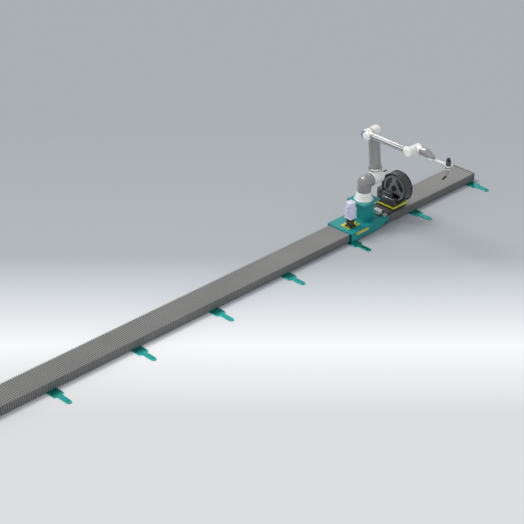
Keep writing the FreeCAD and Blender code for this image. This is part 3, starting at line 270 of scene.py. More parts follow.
def eased(corners, steps=5):
    """A line through corners, each given as two coordinates and a size. A corner is rounded by the parabola
    that leaves one side and meets the other at that size from the corner."""
    spots = np.array([corner[:2] for corner in corners], float)
    line = [spots[:1]]
    share = np.linspace(0, 1, steps + 1)[:, None]
    for index in range(1, len(corners) - 1):
        size = corners[index][2] if len(corners[index]) > 2 else 0
        before, here, after = spots[index - 1:index + 2]
        start = here + (before - here) / np.linalg.norm(before - here) * size
        end = here + (after - here) / np.linalg.norm(after - here) * size
        bend = (1 - share) ** 2 * start + 2 * share * (1 - share) * here + share ** 2 * end
        line.append(bend if size else here[None])
    line.append(spots[-1:])
    return np.concatenate(line)


def sides_of(axis):
    """Two directions square to an axis and to each other."""
    side = np.cross(axis, (0.0, 0.0, 1.0) if abs(axis[2]) < 0.9 else (1.0, 0.0, 0.0))
    side /= np.linalg.norm(side)
    return side, np.cross(axis, side)


def turned(corners, centre, direction, around=64):
    """A line of distances along an axis and radii there, in millimetres, carried once round that axis:
    centre + distance * axis + radius * (cos t * side + sin t * up)."""
    line = eased(corners) * mm
    axis = np.array(direction, float) / np.linalg.norm(direction)
    side, up = sides_of(axis)
    turn = np.linspace(0, 2 * np.pi, around + 1)[:, None]
    spoke = np.cos(turn) * side + np.sin(turn) * up
    spoke[-1] = spoke[0]
    return np.array(centre) + line[:, :1, None] * axis + line[:, 1:, None] * spoke


def screws(places, direction, radius, height):
    """Cap screws at places: a round head with a bevelled rim and a socket sunk in it."""
    corners = [
        (0, 0), (0, radius), (height * 0.85, radius), (height, radius * 0.85), (height, radius * 0.5),
        (height * 0.5, radius * 0.45), (height * 0.5, 0),
    ]
    return [turned(corners, place, direction, 12) for place in places]


# Black coat: a dark satin edge at the end of the grey cover
black_coat = paint("black powder coat", "#1d1e21", "#2b2c2f", roughness=0.46)
# Grey coat on the end plates, near the cloth's own colour
end_coat = paint("grey powder coat on end plate", "#5c5d5f", "#66676a", roughness=0.46)
# Buffer rubber: matt black, greyed where it is touched
buffer_rubber = moulded("moulded rubber", "#1b1b1c", "#29292a", 0.72)
# Blackened screws: dark with a dull shine
black_screw = metal("blackened steel", "#3a3a3c", "#2c2c2e", 0.35)
dress("end_stops", black_coat, edge=1.2 * mm)
for name in ("end_plate_near", "end_plate_far"):
    dress(name, end_coat, edge=1.2 * mm)
dress("stop_buffers", buffer_rubber)

# Bellows
# Pleated covers of grey coated cloth, sewn and glued over a plastic rib in each fold, 3 mm thick in all.
# They run from the end plates to the carriage and fold up as it moves, each fold by its share of the way.
usual_pitch = 24 * mm
fold_depth = 10 * mm
cloth_thick = 3 * mm
cover_corner = 7 * mm
stations_per_fold = 6


def pleats(first_x, folds, pitch, half_width, low, high):
    """Pleats over a number of folds. The cover is an arch, up one side, over the top and down the other, that
    is drawn in by a rounded zigzag along the track: the depth times the wave's share at each station. Its
    inner face follows one thickness below, and both ends close. Also gives how deep in a fold each point
    lies."""
    along = np.arange(folds * stations_per_fold + 1) / stations_per_fold
    valley = np.abs(2 * (along % 1) - 1) ** 1.3
    inset = (fold_depth * valley)[:, None]

    def arch(drawn_in):
        across = half_width - drawn_in
        top = high - drawn_in
        shoulder_high = top - cover_corner
        shoulder_out = across - cover_corner
        turn = np.radians([22, 45, 68])
        heights = [np.full_like(top, low), low + (shoulder_high - low) / 2, shoulder_high]
        heights += [shoulder_high + cover_corner * np.sin(t) for t in turn] + [top, top]
        widths = [across, across, across]
        widths += [shoulder_out + cover_corner * np.cos(t) for t in turn] + [shoulder_out, across / 3]
        up = np.concatenate(heights, 1)
        out = np.concatenate(widths, 1)
        return np.concatenate([-out, out[:, ::-1]], 1), np.concatenate([up, up[:, ::-1]], 1)

    outer = np.stack(arch(inset), -1)
    inner = np.stack(arch(inset + cloth_thick), -1)[:, ::-1]
    section = np.concatenate([outer, inner, outer[:, :1]], 1)
    middle = (outer + inner[:, ::-1]) / 2
    ends = np.concatenate([middle, middle[:, ::-1], middle[:, :1]], 1)
    section = np.concatenate([ends[:1], section, ends[-1:]])
    along = np.concatenate([along[:1], along, along[-1:]])
    valley = np.concatenate([valley[:1], valley, valley[-1:]])
    x = np.broadcast_to((first_x + along * pitch)[:, None], section.shape[:2])
    depth = np.broadcast_to(valley[:, None], section.shape[:2])
    return np.concatenate([x[..., None], section], -1)[:, ::-1], depth[:, ::-1]


def bellows(name, node, first_steps):
    """A bellows as runs of folds, each a piece of its own that is fixed to no body. The runs end at the given
    numbers of folds from either plate."""
    (from_x, _, low), (to_x, half_width, high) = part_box(node)
    folds = round((to_x - from_x) / usual_pitch)
    pitch = (to_x - from_x) / folds
    marks = list(first_steps) + [folds - step for step in reversed(first_steps)]
    for number, (begin, end) in enumerate(zip(marks[:-1], marks[1:]), 1):
        surface, depth = pleats(from_x + begin * pitch, end - begin, pitch, half_width, low, high)
        # How deep each point lies in its fold, which the cloth turns into painted shade in the valleys
        folded = ("fold", depth.reshape(-1))
        run = piece(f"{name}_{number:02d}", None, bellows_cloth, [surface], sharp=60, attribute=folded)
        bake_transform(run)
        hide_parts(node)


def coated_cloth(name):
    """Polyurethane coated cloth: a dull grey skin with a faint weave. The valleys carry painted shade, darker
    the deeper they lie in a fold. Faces that point up are a touch paler than the sides."""
    material, tree = empty_material(name)
    place = add(tree, "ShaderNodeTexCoord").outputs["Object"]
    fold = add(tree, "ShaderNodeAttribute", {"attribute_name": "fold"}).outputs["Fac"]
    cloud = add(tree, "ShaderNodeTexNoise", {"Scale": 1 / (400 * mm), "Detail": 6.0}, {"Vector": place})
    weave = add(
        tree, "ShaderNodeTexWave", {"Scale": 1 / (4 * mm), "bands_direction": "Y", "Distortion": 0.6},
        {"Vector": place},
    )
    # Painted shade: the colour darkens from the ridges to the bottom of each valley
    shade = add(
        tree, "ShaderNodeValToRGB", {}, {"Fac": fold}, [(0.0, "#939290"), (0.45, "#858482"), (1.0, "#4a4948")]
    )
    worn = add(
        tree, "ShaderNodeValToRGB", {}, {"Fac": cloud.outputs["Fac"]}, [(0.3, "#eeeeee"), (0.75, "#ffffff")]
    )
    colour = add(
        tree, "ShaderNodeMix", {"data_type": "RGBA", "blend_type": "MULTIPLY", 0: 1.0},
        {6: shade.outputs["Color"], 7: worn.outputs["Color"]},
    )
    # Faces that point up are a touch paler than the sides and the underside
    facing_up = add(
        tree, "ShaderNodeSeparateXYZ", {}, {0: add(tree, "ShaderNodeNewGeometry").outputs["Normal"]}
    )
    paler_facing_up = add(
        tree, "ShaderNodeValToRGB", {}, {"Fac": facing_up.outputs["Z"]}, [(0.1, "#fcfcfe"), (0.6, "#ffffff")]
    )
    colour = add(
        tree, "ShaderNodeMix", {"data_type": "RGBA", "blend_type": "MULTIPLY", 0: 1.0},
        {6: colour.outputs[2], 7: paler_facing_up.outputs["Color"]},
    )
    relief = add(
        tree, "ShaderNodeBump", {"Strength": 0.15, "Distance": 0.2 * mm}, {"Height": weave.outputs["Fac"]}
    )
    shader = add(
        tree, "ShaderNodeBsdfPrincipled", {"IOR": 1.48, "Roughness": 0.62, "Sheen Weight": 0.1},
        {"Base Color": colour.outputs[2], "Normal": relief.outputs[0]},
    )
    add(tree, "ShaderNodeOutputMaterial", {}, {"Surface": shader.outputs[0]})
    return material


# Coated cloth: soft and dull, with painted shade in its valleys, so that the folds show as fine grey lines
bellows_cloth = coated_cloth("grey coated bellows cloth")
bellows("near_bellows", "bellows_near", (0, 1, 2, 3, 5, 8, 13, 21, 34, 105))
bellows("far_bellows", "bellows_far", (0, 1, 2, 3, 5, 8, 31))

# Carriage
# A machined steel plate with bent side skirts, powder coated, on four guide blocks. Low button screws hold
# the skirts to the plate's edges, and an amber strip of moulded plastic is let into the front skirt.

# Green-blue powder coat: the eye sees an even satin colour
machine_coat = paint("teal powder coat", "#059392", "#0f9b99", roughness=0.36)
for name in ("carriage_plate", "front_skirt", "back_skirt", "bellows_flanges"):
    dress(name, machine_coat, edge=1.5 * mm)


def slab(low, high, edge, corner=None, steps=4):
    """A block with rounded upright corners and rounded top and bottom edges. In plan each corner is a quarter
    circle about a point one corner size in, and going up the edge is a quarter circle of its own size."""
    corner = edge if corner is None else corner
    low, high = np.array(low), np.array(high)
    middle, half = (low + high) / 2, (high - low) / 2
    quarter = np.linspace(0, np.pi / 2, steps + 1)
    turn = np.concatenate([quarter + side * np.pi / 2 for side in range(4)])
    sign_x = np.repeat([1, -1, -1, 1], steps + 1)
    sign_y = np.repeat([1, 1, -1, -1], steps + 1)
    rise = np.concatenate([quarter - np.pi / 2, quarter])[:, None]
    sign_z = np.repeat([-1, 1], steps + 1)[:, None]
    reach = corner - edge + edge * np.cos(rise)
    x = sign_x * (half[0] - corner) + reach * np.cos(turn)
    y = sign_y * (half[1] - corner) + reach * np.sin(turn)
    z = np.broadcast_to(sign_z * (half[2] - edge) + edge * np.sin(rise), x.shape)
    ring = np.stack([x, y, z], -1)
    poles = np.zeros((2,) + ring.shape[1:])
    poles[0, :, 2], poles[1, :, 2] = -half[2], half[2]
    ring = np.concatenate([poles[:1], ring, poles[1:]])
    return middle + np.concatenate([ring, ring[:, :1]], 1)


def extent(node):
    """The low and the high corner of a node's box, as arrays."""
    return [np.array(corner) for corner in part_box(node)]


upward, downward = (0, 0, 1), (0, 0, -1)
onward, backward = (1, 0, 0), (-1, 0, 0)
to_back, to_front = (0, 1, 0), (0, -1, 0)

# Amber plastic: a warm ochre, half glossy
amber = moulded("amber plastic", "#cfc350", "#c4b646", 0.3, gloss=0.3)
strip_rise = 10 * mm
strip_sunk = 3 * mm
low, high = extent("side_strip")
strip = slab(low - (0, 0, strip_rise), high + (0, strip_sunk, strip_rise), edge=3 * mm)
piece("side_strip_lens", "carriage", amber, [strip], ["side_strip"])
# Low button screws with a socket, in two rows of six
screw_from_end = 34 * mm
screw_from_top = 9 * mm
button = [(0, 0), (0, 6), (1.6, 5.2, 1), (2.6, 3.4), (2.6, 2.2), (1.2, 2.0), (1.2, 0)]
plate_low, plate_high = extent("carriage_plate")
rows = (
    (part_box("back_skirt")[1][1] - 0.2 * mm, to_back),
    (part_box("front_skirt")[0][1] + 0.2 * mm, to_front),
)
screw_x = np.linspace(plate_low[0] + screw_from_end, plate_high[0] - screw_from_end, 6)
heads = [
    turned(button, (x, face, plate_high[2] - screw_from_top), way, around=12)
    for face, way in rows for x in screw_x
]
piece("skirt_screws", "carriage", black_screw, heads)

# Motor plate and gearbox
# The drive sits on a yellow plate whose slots set the play of the teeth. Four bolts hold the plate through
# its slots, and the planetary gearbox stands on it: burnished steel, square flanges on a turned barrel.

# Yellow gloss coat: a strong lemon colour that mirrors the drive on it
yellow_coat = paint("yellow gloss coat", "#e6e020", "#d6cf1c", roughness=0.2, peel=0.05, gloss=1.0)
dress("motor_plate", yellow_coat, edge=1.0 * mm)
low, high = extent("motor_plate")
slot_from_end = 12.5 * mm
slot_from_side = 28 * mm
slot_spacing = 18 * mm
spots = [
    (high[0] - slot_from_end - step * slot_spacing, y, high[2])
    for step in (0, 1) for y in (low[1] + slot_from_side, high[1] - slot_from_side)
]
washer = [(-0.2, 0), (-0.2, 8), (1.6, 8, 0.5), (1.6, 0)]
washers = [turned(washer, spot, upward, around=20) for spot in spots]
piece("motor_plate_bolts", "carriage", zinc_plate, washers + screws(spots, upward, radius=5.5, height=7))


def four_spots(low, high, inset, height):
    """The places of four screws at a height, each at the inset from two sides of a box."""
    along_x, along_y = (low[0] + inset[0], high[0] - inset[0]), (low[1] + inset[1], high[1] - inset[1])
    return [(x, y, height) for x in along_x for y in along_y]


# Burnished steel: dark brown grey with a clear shine, turned in rings
burnished = metal("burnished gearbox steel", "#7c6c58", "#3a3532", 0.16, grain=(8, 8, 0.6), depth=0.02 * mm)
low, high = extent("gearbox")
flange = 12 * mm
flange_shape = {"edge": 1.2 * mm, "corner": 7 * mm}
barrel = [
    (10, 0), (10, 40), (14, 40, 2), (16, 36.5, 2), (22, 36.5, 2), (24, 42.5, 1.5), (38, 42.5, 1), (39, 41),
    (41.5, 41), (42.5, 44.5, 1), (62.5, 44.5, 1), (63.5, 41), (66, 41), (67, 42.5, 1), (80, 42.5, 1.5),
    (83, 37, 2), (91, 37, 2), (94, 42), (95, 42), (95, 0),
]
shapes = [
    slab(low, (high[0], high[1], low[2] + flange), **flange_shape),
    turned(barrel, ((low[0] + high[0]) / 2, (low[1] + high[1]) / 2, low[2]), upward, around=72),
    slab((low[0], low[1], high[2] - flange), high, **flange_shape),
]
piece("gearbox_barrel", "carriage", burnished, shapes, ["gearbox"])
inset = (10 * mm, 10 * mm)
heads = screws(four_spots(low, high, inset, low[2] + flange), upward, radius=5, height=6)
heads += screws(four_spots(low, high, inset, high[2] - flange), downward, radius=5, height=6)
piece("gearbox_screws", "carriage", black_screw, heads)

# Servo motor
# A square motor in lavender enamel: mounting flange, body with a flat on each corner, a narrower end bell
# over the encoder, held by four long screws, and two angled plugs for power and signal on the left.
lavender = paint("lavender motor enamel", "#dadcf4", "#e2e3f8", roughness=0.26, gloss=0.8)
low, high = extent("servo_motor")
bell = 72 * mm
body_high = high[2] - bell
flange = 11 * mm
waist = 3 * mm
step_in = 9 * mm
body_corner = 14 * mm
foot_high = (high[0], high[1], low[2] + flange)
stator_low = low + (waist, waist, 9 * mm)
stator_high = (high[0] - waist, high[1] - waist, body_high - 8 * mm)
shield_low = (low[0], low[1], body_high - 16 * mm)
bell_low = low + (step_in, step_in, 110 * mm)
shapes = [
    slab(low, foot_high, edge=1.5 * mm, corner=8 * mm),
    slab(stator_low, stator_high, edge=2 * mm, corner=body_corner),
    slab(shield_low, (high[0], high[1], body_high), edge=3 * mm, corner=body_corner),
    slab(bell_low, high - (step_in, step_in, 0), edge=9 * mm, corner=16 * mm),
]
# A raised panel on each of two sides
panel = 4 * mm
panel_inset = 20 * mm
for y in (low[1] + 1 * mm, high[1] - 1 * mm - panel):
    panel_low = (low[0] + panel_inset, y, low[2] + panel_inset)
    panel_high = (high[0] - panel_inset, y + panel, body_high - 22 * mm)
    shapes.append(slab(panel_low, panel_high, edge=1.5 * mm))
piece("servo_motor_body", "carriage", lavender, shapes, ["servo_motor"])
spots = four_spots(low, high, (13 * mm, 13 * mm), body_high)
piece("servo_motor_screws", "carriage", black_screw, screws(spots, upward, radius=3.5, height=4))
plug_low, plug_high = extent("motor_plugs")
plug_y = (plug_low[1] + plug_high[1]) / 2
plug_half = 12 * mm
nut = [(0, 0), (0, 9.5, 1), (2, 9.5), (2.6, 8.6), (4, 9.5), (4.6, 8.6), (6, 9.5, 1), (8, 9.5, 1), (8, 0)]
shapes = []
power_plug = (low[2] + 0.66 * (body_high - low[2]), low[0] + 2 * mm)
signal_plug = (body_high + 0.15 * bell, low[0] + step_in + 2 * mm)
for height, back in (power_plug, signal_plug):
    housing_low = (plug_low[0] + 6 * mm, plug_y - plug_half, height)
    shapes.append(slab(housing_low, (back, plug_y + plug_half, height + 2 * plug_half), edge=3 * mm))
    shapes.append(turned(nut, (plug_low[0] + 8 * mm, plug_y, height + plug_half), backward, around=36))
piece("motor_plug_bodies", "carriage", lavender, shapes, ["motor_plugs"])

# Pedestal
# A square steel tube welded between a toe plate and a head plate, then powder coated. The welds keep their
# ripples under the coat. Bolts through the plates' corners hold it to the carriage.
dress("pedestal", machine_coat, edge=2.5 * mm)


def weld_bead(centre, half, corner, size, ripple=4 * mm):
    """A weld round a square tube: a ring that follows the tube's rounded square, with a round section whose
    radius swells by an eighth at each ripple of the bead."""
    count = int(8 * half / ripple) * 4
    turn = np.linspace(0, 2 * np.pi, count + 1)
    power = 0.18
    out_x = np.sign(np.cos(turn)) * np.abs(np.cos(turn)) ** power
    out_y = np.sign(np.sin(turn)) * np.abs(np.sin(turn)) ** power
    path = np.stack([half * out_x, half * out_y, np.zeros(count + 1)], -1)
    outward = path / (half + corner)
    swell = size * (1 + 0.12 * np.cos(turn * count / 4))
    around = np.linspace(0, 2 * np.pi, 9)[:, None, None]
    ring = path + np.cos(around) * swell[:, None] * outward + np.sin(around) * swell[:, None] * (0, 0, 1)
    ring[-1] = ring[0]
    ring[:, -1] = ring[:, 0]
    return np.array(centre) + ring


low, high = extent("pedestal")
centre = (low + high) / 2
tube_half = 82.5 * mm
toe_bolts_out, head_bolts_out = 92 * mm, 113 * mm
toe_thick = 10 * mm
beads = [
    weld_bead((centre[0], centre[1], height), tube_half, corner=4 * mm, size=4 * mm)
    for height in (low[2] + 11 * mm, high[2] - 15 * mm)
]
piece("pedestal_welds", "carriage", machine_coat, beads, sharp=80)
corners = np.array([(sx, sy, 0) for sx in (-1, 1) for sy in (-1, 1)])
toe_spots = (centre[0], centre[1], low[2] + toe_thick) + corners * toe_bolts_out
head_spots = (centre[0], centre[1], high[2]) + corners * head_bolts_out
heads = screws(toe_spots, upward, radius=5.5, height=7) + screws(head_spots, upward, radius=7, height=8)
piece("pedestal_bolts", "carriage", zinc_plate, heads)

# Robot base and shoulder
# Cast aluminium housings in smooth enamel. The base is a white flared foot bolted to the pedestal. The grey
# shoulder turns on it and carries the first arm joint on its side, with a dark seal at each turning joint.
pivot = {joint["name"]: np.array(joint["pos_m"]) for joint in frame["joints"] if "pos_m" in joint}
# White enamel: bright, smooth and a little warm. Grey enamel: neutral, and glossy, so it shows highlights.
white_enamel = paint(
    "white enamel on cast aluminium", "#fafaf6", "#f2f2ec", roughness=0.3, peel=0.04, gloss=0.4
)
grey_enamel = paint(
    "grey enamel on cast aluminium", "#929190", "#898887", roughness=0.24, peel=0.03, gloss=1.0
)
# Seal rubber: black and dull, a dark line at each joint
seal_rubber = moulded("black seal rubber", "#151516", "#1d1d1e", 0.5)


def melted(shown, voxel, rounds):
    """Joins the shapes of a piece into one skin, as a casting is one, and rounds where they meet."""
    melt = shown.modifiers.new("melt", "REMESH")
    melt.mode = "VOXEL"
    melt.voxel_size = voxel
    melt.use_smooth_shade = True
    relax = shown.modifiers.new("relax", "SMOOTH")
    relax.factor = 0.5
    relax.iterations = rounds
    return shown


def casting(name, node, body, material, voxel=2.0 * mm, rounds=8):
    """A copy of a node's solid whose edges are melted round, as a cast housing's are."""
    return melted(dress(solid_copy(name, node, body), material), voxel, rounds)


def joint_seal(name, body, place, direction, radius, width=3.0):
    """The dark lip between two housings that turn on each other, a little below their surface."""
    lip = [(-width, 0), (-width, radius - 1.2), (0, radius - 0.4, 0.8), (width, radius - 1.2), (width, 0)]
    return piece(name, body, seal_rubber, [turned(lip, place, direction, around=96)])


def lid(name, body, node, level, radius):
    """A round white cover on the outer face of a housing: a dished disc with a rolled rim and six screws sunk
    near its edge."""
    foot = np.array((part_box(node)[1][0] - 4 * mm, level[1], level[2]))
    dish = [(-3, 0), (-3, radius), (5, radius, 3), (5, radius - 7, 2), (3.6, radius - 12, 2), (3.6, 0)]
    side, up = sides_of(onward)
    turn = np.linspace(0, 2 * np.pi, 6, endpoint=False)[:, None] + 0.3
    spoke = np.cos(turn) * side + np.sin(turn) * up
    spots = foot + np.array(onward) * 3.2 * mm + spoke * (radius - 14) * mm
    piece(name + "_screws", body, black_screw, screws(spots, onward, radius=3, height=2.2))
    return piece(name, body, white_enamel, [turned(dish, foot, onward, around=72)])


low, high = extent("robot_base")
base_axis = (pivot["base_turn"][0], 0.0, low[2])
tall = (high[2] - low[2]) / mm
flare = [
    (0, 0), (0, 104, 1.5), (11, 104, 3), (15, 99, 3), (tall * 0.35, 92, 14), (tall - 12, 78, 10),
    (tall, 75, 2), (tall, 0),
]
piece("robot_base_foot", "carriage", white_enamel, [turned(flare, base_axis, upward, 96)], ["robot_base"])
joint_seal("base_seal", "carriage", pivot["base_turn"], upward, radius=75)
# The shoulder: a dome over the base joint, another on the arm joint's line, and a bulge in their inner corner
shoulder = np.array([pivot["base_turn"][0], 0.0, pivot["shoulder_lift"][2]])
rise = (shoulder[2] - pivot["base_turn"][2]) / mm
reach = (pivot["shoulder_lift"][0] - shoulder[0]) / mm
running_gap = 0.3
upright = [(running_gap, 0), (running_gap, 75, 2.5), (rise, 75), (rise + 52, 52, 40), (rise + 74, 0)]
level = [(-74, 0), (-66, 46, 34), (-30, 75, 26), (reach - running_gap, 75, 2.5), (reach - running_gap, 0)]
bulge = [(-76, 0), (-74, 50, 34), (0, 66, 40), (76, 50, 34), (76, 0)]
shapes = [
    turned(upright, (shoulder[0], 0.0, pivot["base_turn"][2]), upward, around=96),
    turned(level, shoulder, onward, around=96),
    turned(bulge, shoulder + (28 * mm, 0, -34 * mm), upward, around=96),
]
melted(piece("shoulder_elbow", "shoulder", grey_enamel, shapes, ["shoulder_housing"]), 2.5 * mm, 12)
joint_seal("shoulder_seal", "shoulder", pivot["shoulder_lift"], onward, radius=75)

# Upper arm
# A white cast housing on the shoulder joint, a bright clamp ring, a grey painted tube that flares at its
# foot, and a second white housing that carries the elbow joint. A black connector for the arm's supply sits
# behind.


def tube_axis(node, start, end):
    """The foot of a tube's axis, level with the joint it leaves, its way to the next joint, and the distance
    between the joints along it in millimetres."""
    low, high = extent(node)
    foot = np.array([(low[0] + high[0]) / 2, start[1], start[2]])
    line = (end - start) * (0, 1, 1)
    distance = np.linalg.norm(line)
    return foot, line / distance, distance / mm


elbow = pivot["elbow_bend"]
arm_foot, arm_way, arm_length = tube_axis("upper_arm_tube", pivot["shoulder_lift"], elbow)
casting("upper_arm_foot", "upper_arm_lower_housing", "upper_arm", white_enamel)
lid("upper_arm_foot_lid", "upper_arm", "upper_arm_lower_housing", arm_foot, radius=64)
# Bright clamp ring: turned aluminium, polished enough to mirror the windows
bright_ring = metal(
    "polished turned aluminium", "#dcdcda", "#cfcfcd", 0.1, grain=(3, 3, 0.3), depth=0.006 * mm
)
ring_start, ring_end = 84, 116
ring = [
    (ring_start, 0), (ring_start, 74, 1), (87, 74), (87.6, 72.5), (89, 76.5, 1), (110, 76.5, 1.5),
    (112, 72.5), (112.6, 74), (ring_end, 73), (ring_end, 0),
]
piece("upper_arm_clamp", "upper_arm", bright_ring, [turned(ring, arm_foot, arm_way, 96)], ["upper_arm_ring"])
for name, along in (("clamp_seal_low", ring_start + 0.5), ("clamp_seal_high", ring_end + 1)):
    joint_seal(name, "upper_arm", arm_foot + arm_way * along * mm, arm_way, radius=75, width=2.2)
tube_start, tube_end = ring_end + 1, arm_length - 68
tube = [
    (tube_start, 0), (tube_start, 72.5, 1), (124, 71.5, 4), (152, 64.5, 18), (tube_end - 14, 63),
    (tube_end - 13, 61.8), (tube_end - 10, 61.8), (tube_end - 9, 63), (tube_end, 63), (tube_end, 0),
]
piece("upper_arm_barrel", "upper_arm", grey_enamel, [turned(tube, arm_foot, arm_way, 96)], ["upper_arm_tube"])
casting("upper_arm_head", "upper_arm_elbow_housing", "upper_arm", white_enamel)
lid("upper_arm_head_lid", "upper_arm", "upper_arm_elbow_housing", elbow, radius=46)
joint_seal("elbow_seal", "upper_arm", elbow, onward, radius=57, width=4.5)
# Connector: black moulded plastic with a ribbed coupling nut
black_plastic = moulded("black moulded plastic", "#1a1a1c", "#252527", 0.38)


def box_foot(node, axis):
    """The middle of the face where a node's box begins along an axis, which is 0 for x or 2 for z, and the
    box's length along it in millimetres."""
    low, high = extent(node)
    foot = (low + high) / 2
    foot[axis] = low[axis]
    return foot, (high[axis] - low[axis]) / mm


plug_foot, reach = box_foot("arm_connector", 0)
plug = [(0, 0), (0, 9.8), (8, 9.8), (9, 8)]
rib = ((1, 9.8), (2, 9.8), (3, 8.6))
plug += [(9 + 3 * step + part, radius) for step in range(8) for part, radius in rib]
plug += [(36, 7.5), (reach - 12, 7.5), (reach - 10, 6.6), (reach, 6, 3), (reach, 0)]
piece("arm_plug", "upper_arm", black_plastic, [turned(plug, plug_foot, onward, 36)], ["arm_connector"])

# Forearm
# A white housing with a blue grey cap on the elbow joint, a bright extruded tube with long flutes whose pale
# lands carry painted highlights, and a white housing that carries the first wrist joint.
casting("forearm_root", "forearm_elbow_housing", "forearm", white_enamel)
# Blue grey cap: moulded plastic, half glossy
blue_cap = moulded("blue grey cap plastic", "#8fa2b8", "#8294aa", 0.3, gloss=0.4)
low, high = extent("forearm_cap")
thick = (high[0] - low[0]) / mm
dome = [(0, 0), (0, 52, 1), (thick * 0.5, 51, 3), (thick, 40, 6), (thick, 0)]
cap_foot = np.array((high[0], elbow[1], elbow[2]))
piece("forearm_cap_disc", "forearm", blue_cap, [turned(dome, cap_foot, backward, around=72)], ["forearm_cap"])
# Where the tube leaves the joint, the housing swells past the cap and hides all of it but a crescent
swell = [(-30, 0), (-30, 50, 4), (10, 50, 12), (20, 30, 10), (21, 0)]
swell_foot = cap_foot - (0, 28 * mm, 5 * mm)
swelling = turned(swell, swell_foot, backward, around=96)
melted(piece("forearm_swell", "forearm", white_enamel, [swelling]), 2.0 * mm, 8)
wrist = pivot["wrist_bend"]
fore_foot, fore_way, fore_length = tube_axis("forearm_tube", elbow, wrist)
flutes = 8
flute_turn = np.linspace(0, 2 * np.pi, 18 * flutes + 1)
flute_share = np.abs(np.cos(flutes / 2 * flute_turn))


def fluted(start, end, radius, groove, foot, way):
    """A drawn tube between two distances along its axis: a round of the radius less eight long flutes, whose
    depth follows a power of the cosine of four times the turn. A fine ring is turned in near both ends."""
    across = np.array(onward, float)
    round_out = radius - groove * flute_share ** 4
    out = np.cos(flute_turn)[:, None] * across + np.sin(flute_turn)[:, None] * np.cross(across, way)
    ring = round_out[:, None] * out
    ring[-1] = ring[0]
    share = np.array([0.0, 1.0, 1.0, 0.985, 0.985, 1.0, 1.0, 0.0])[:, None, None]
    places = np.array([start, start, start + 9, start + 10, end - 10, end - 9, end, end])[:, None, None]
    return foot + (share * ring + places * way) * mm


def fluted_metal(name):
    """Drawn aluminium whose lands are polished and whose flutes stay grey and matt from the die. The lands'
    near white colour is a painted highlight, bright lines along the tube, over that real two-tone polish. It
    is only part metallic, so that the lands stay as pale as in the photograph wherever they face."""
    material, tree = empty_material(name)
    land = add(tree, "ShaderNodeAttribute", {"attribute_name": "land"}).outputs["Fac"]
    # Painted highlight: near white on the lands and grey in the flutes, bright lines along the tube whatever
    # the lamps do
    shade = add(tree, "ShaderNodeValToRGB", {}, {"Fac": land}, [(0.4, "#8a8b8d"), (0.8, "#fbfbfa")])
    shine = add(tree, "ShaderNodeMapRange", {"To Min": 0.5, "To Max": 0.3}, {"Value": land})
    shader = add(
        tree, "ShaderNodeBsdfPrincipled", {"Metallic": 0.25},
        {"Base Color": shade.outputs["Color"], "Roughness": shine.outputs[0]},
    )
    add(tree, "ShaderNodeOutputMaterial", {}, {"Surface": shader.outputs[0]})
    return material


tube = fluted(76, fore_length - 60, 36, 2.4, fore_foot, fore_way)
lands = ("land", np.broadcast_to(1 - flute_share, tube.shape[:2]).reshape(-1))
joint_seal("forearm_tube_seal", "forearm", fore_foot + fore_way * 79 * mm, fore_way, radius=38, width=2.5)
drawn_aluminium_painted_lines = fluted_metal("bright drawn aluminium")
piece("forearm_barrel", "forearm", drawn_aluminium_painted_lines, [tube], ["forearm_tube"], attribute=lands)
casting("forearm_fork", "forearm_wrist_housing", "forearm", white_enamel)
dome = [(-20, 0), (-20, 46, 2), (4, 45, 10), (9, 26, 14), (10, 0)]
dome_foot = (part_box("forearm_wrist_housing")[0][0] + 10 * mm, wrist[1], wrist[2])
piece("forearm_fork_dome", "forearm", white_enamel, [turned(dome, dome_foot, backward, around=96)])
joint_seal("wrist_bend_seal", "forearm", wrist, onward, radius=47.5)

# Wrist
# A white cast housing that tilts, a grey one that rolls and slopes down to the tool, and a turned flange
# that carries the tool.
casting("wrist_tee", "wrist_1_housing", "wrist_1", white_enamel)
lid("wrist_tee_lid", "wrist_1", "wrist_1_housing", wrist, radius=37)
joint_seal("wrist_roll_seal", "wrist_1", pivot["wrist_roll"], to_front, radius=44.5)
casting("wrist_knuckle", "wrist_2_housing", "wrist_2", grey_enamel, voxel=1.6 * mm, rounds=14)
tool = pivot["tool_turn"]
flange = [
    (running_gap, 0), (running_gap, 46, 1), (4, 46), (4.6, 44.8), (6, 47, 0.8), (14, 47, 1.5), (14, 30),
    (12, 29.4), (12, 0),
]
disc = turned(flange, tool + (0, 0, running_gap * mm), downward, around=96)
piece("tool_flange_disc", "tool", bright_ring, [disc], ["tool_flange"])

# Torch
# A flat aluminium bracket on the flange clamps the torch: a dark ringed barrel with a black cap, a white
# collar, and a steel neck bent back to a dark nozzle.

# Blasted aluminium: pale, even and matt
blasted = metal("blasted aluminium", "#e4e4e2", "#d8d8d6", 0.4, grain_size=0.8 * mm)
# Barrel plastic: dark grey and glossy. Grip steel: grey, cut by fine lines. Collar plastic: white, glossy.
barrel_plastic = moulded("dark grey moulded plastic", "#26272a", "#303135", 0.24, gloss=1.0)
grip_steel = metal("knurled grey steel", "#c6c6c6", "#b2b2b2", 0.26, grain=(0.6, 0.6, 4))
white_plastic = moulded("white moulded plastic", "#f6f6f3", "#ededea", 0.3, gloss=0.4)
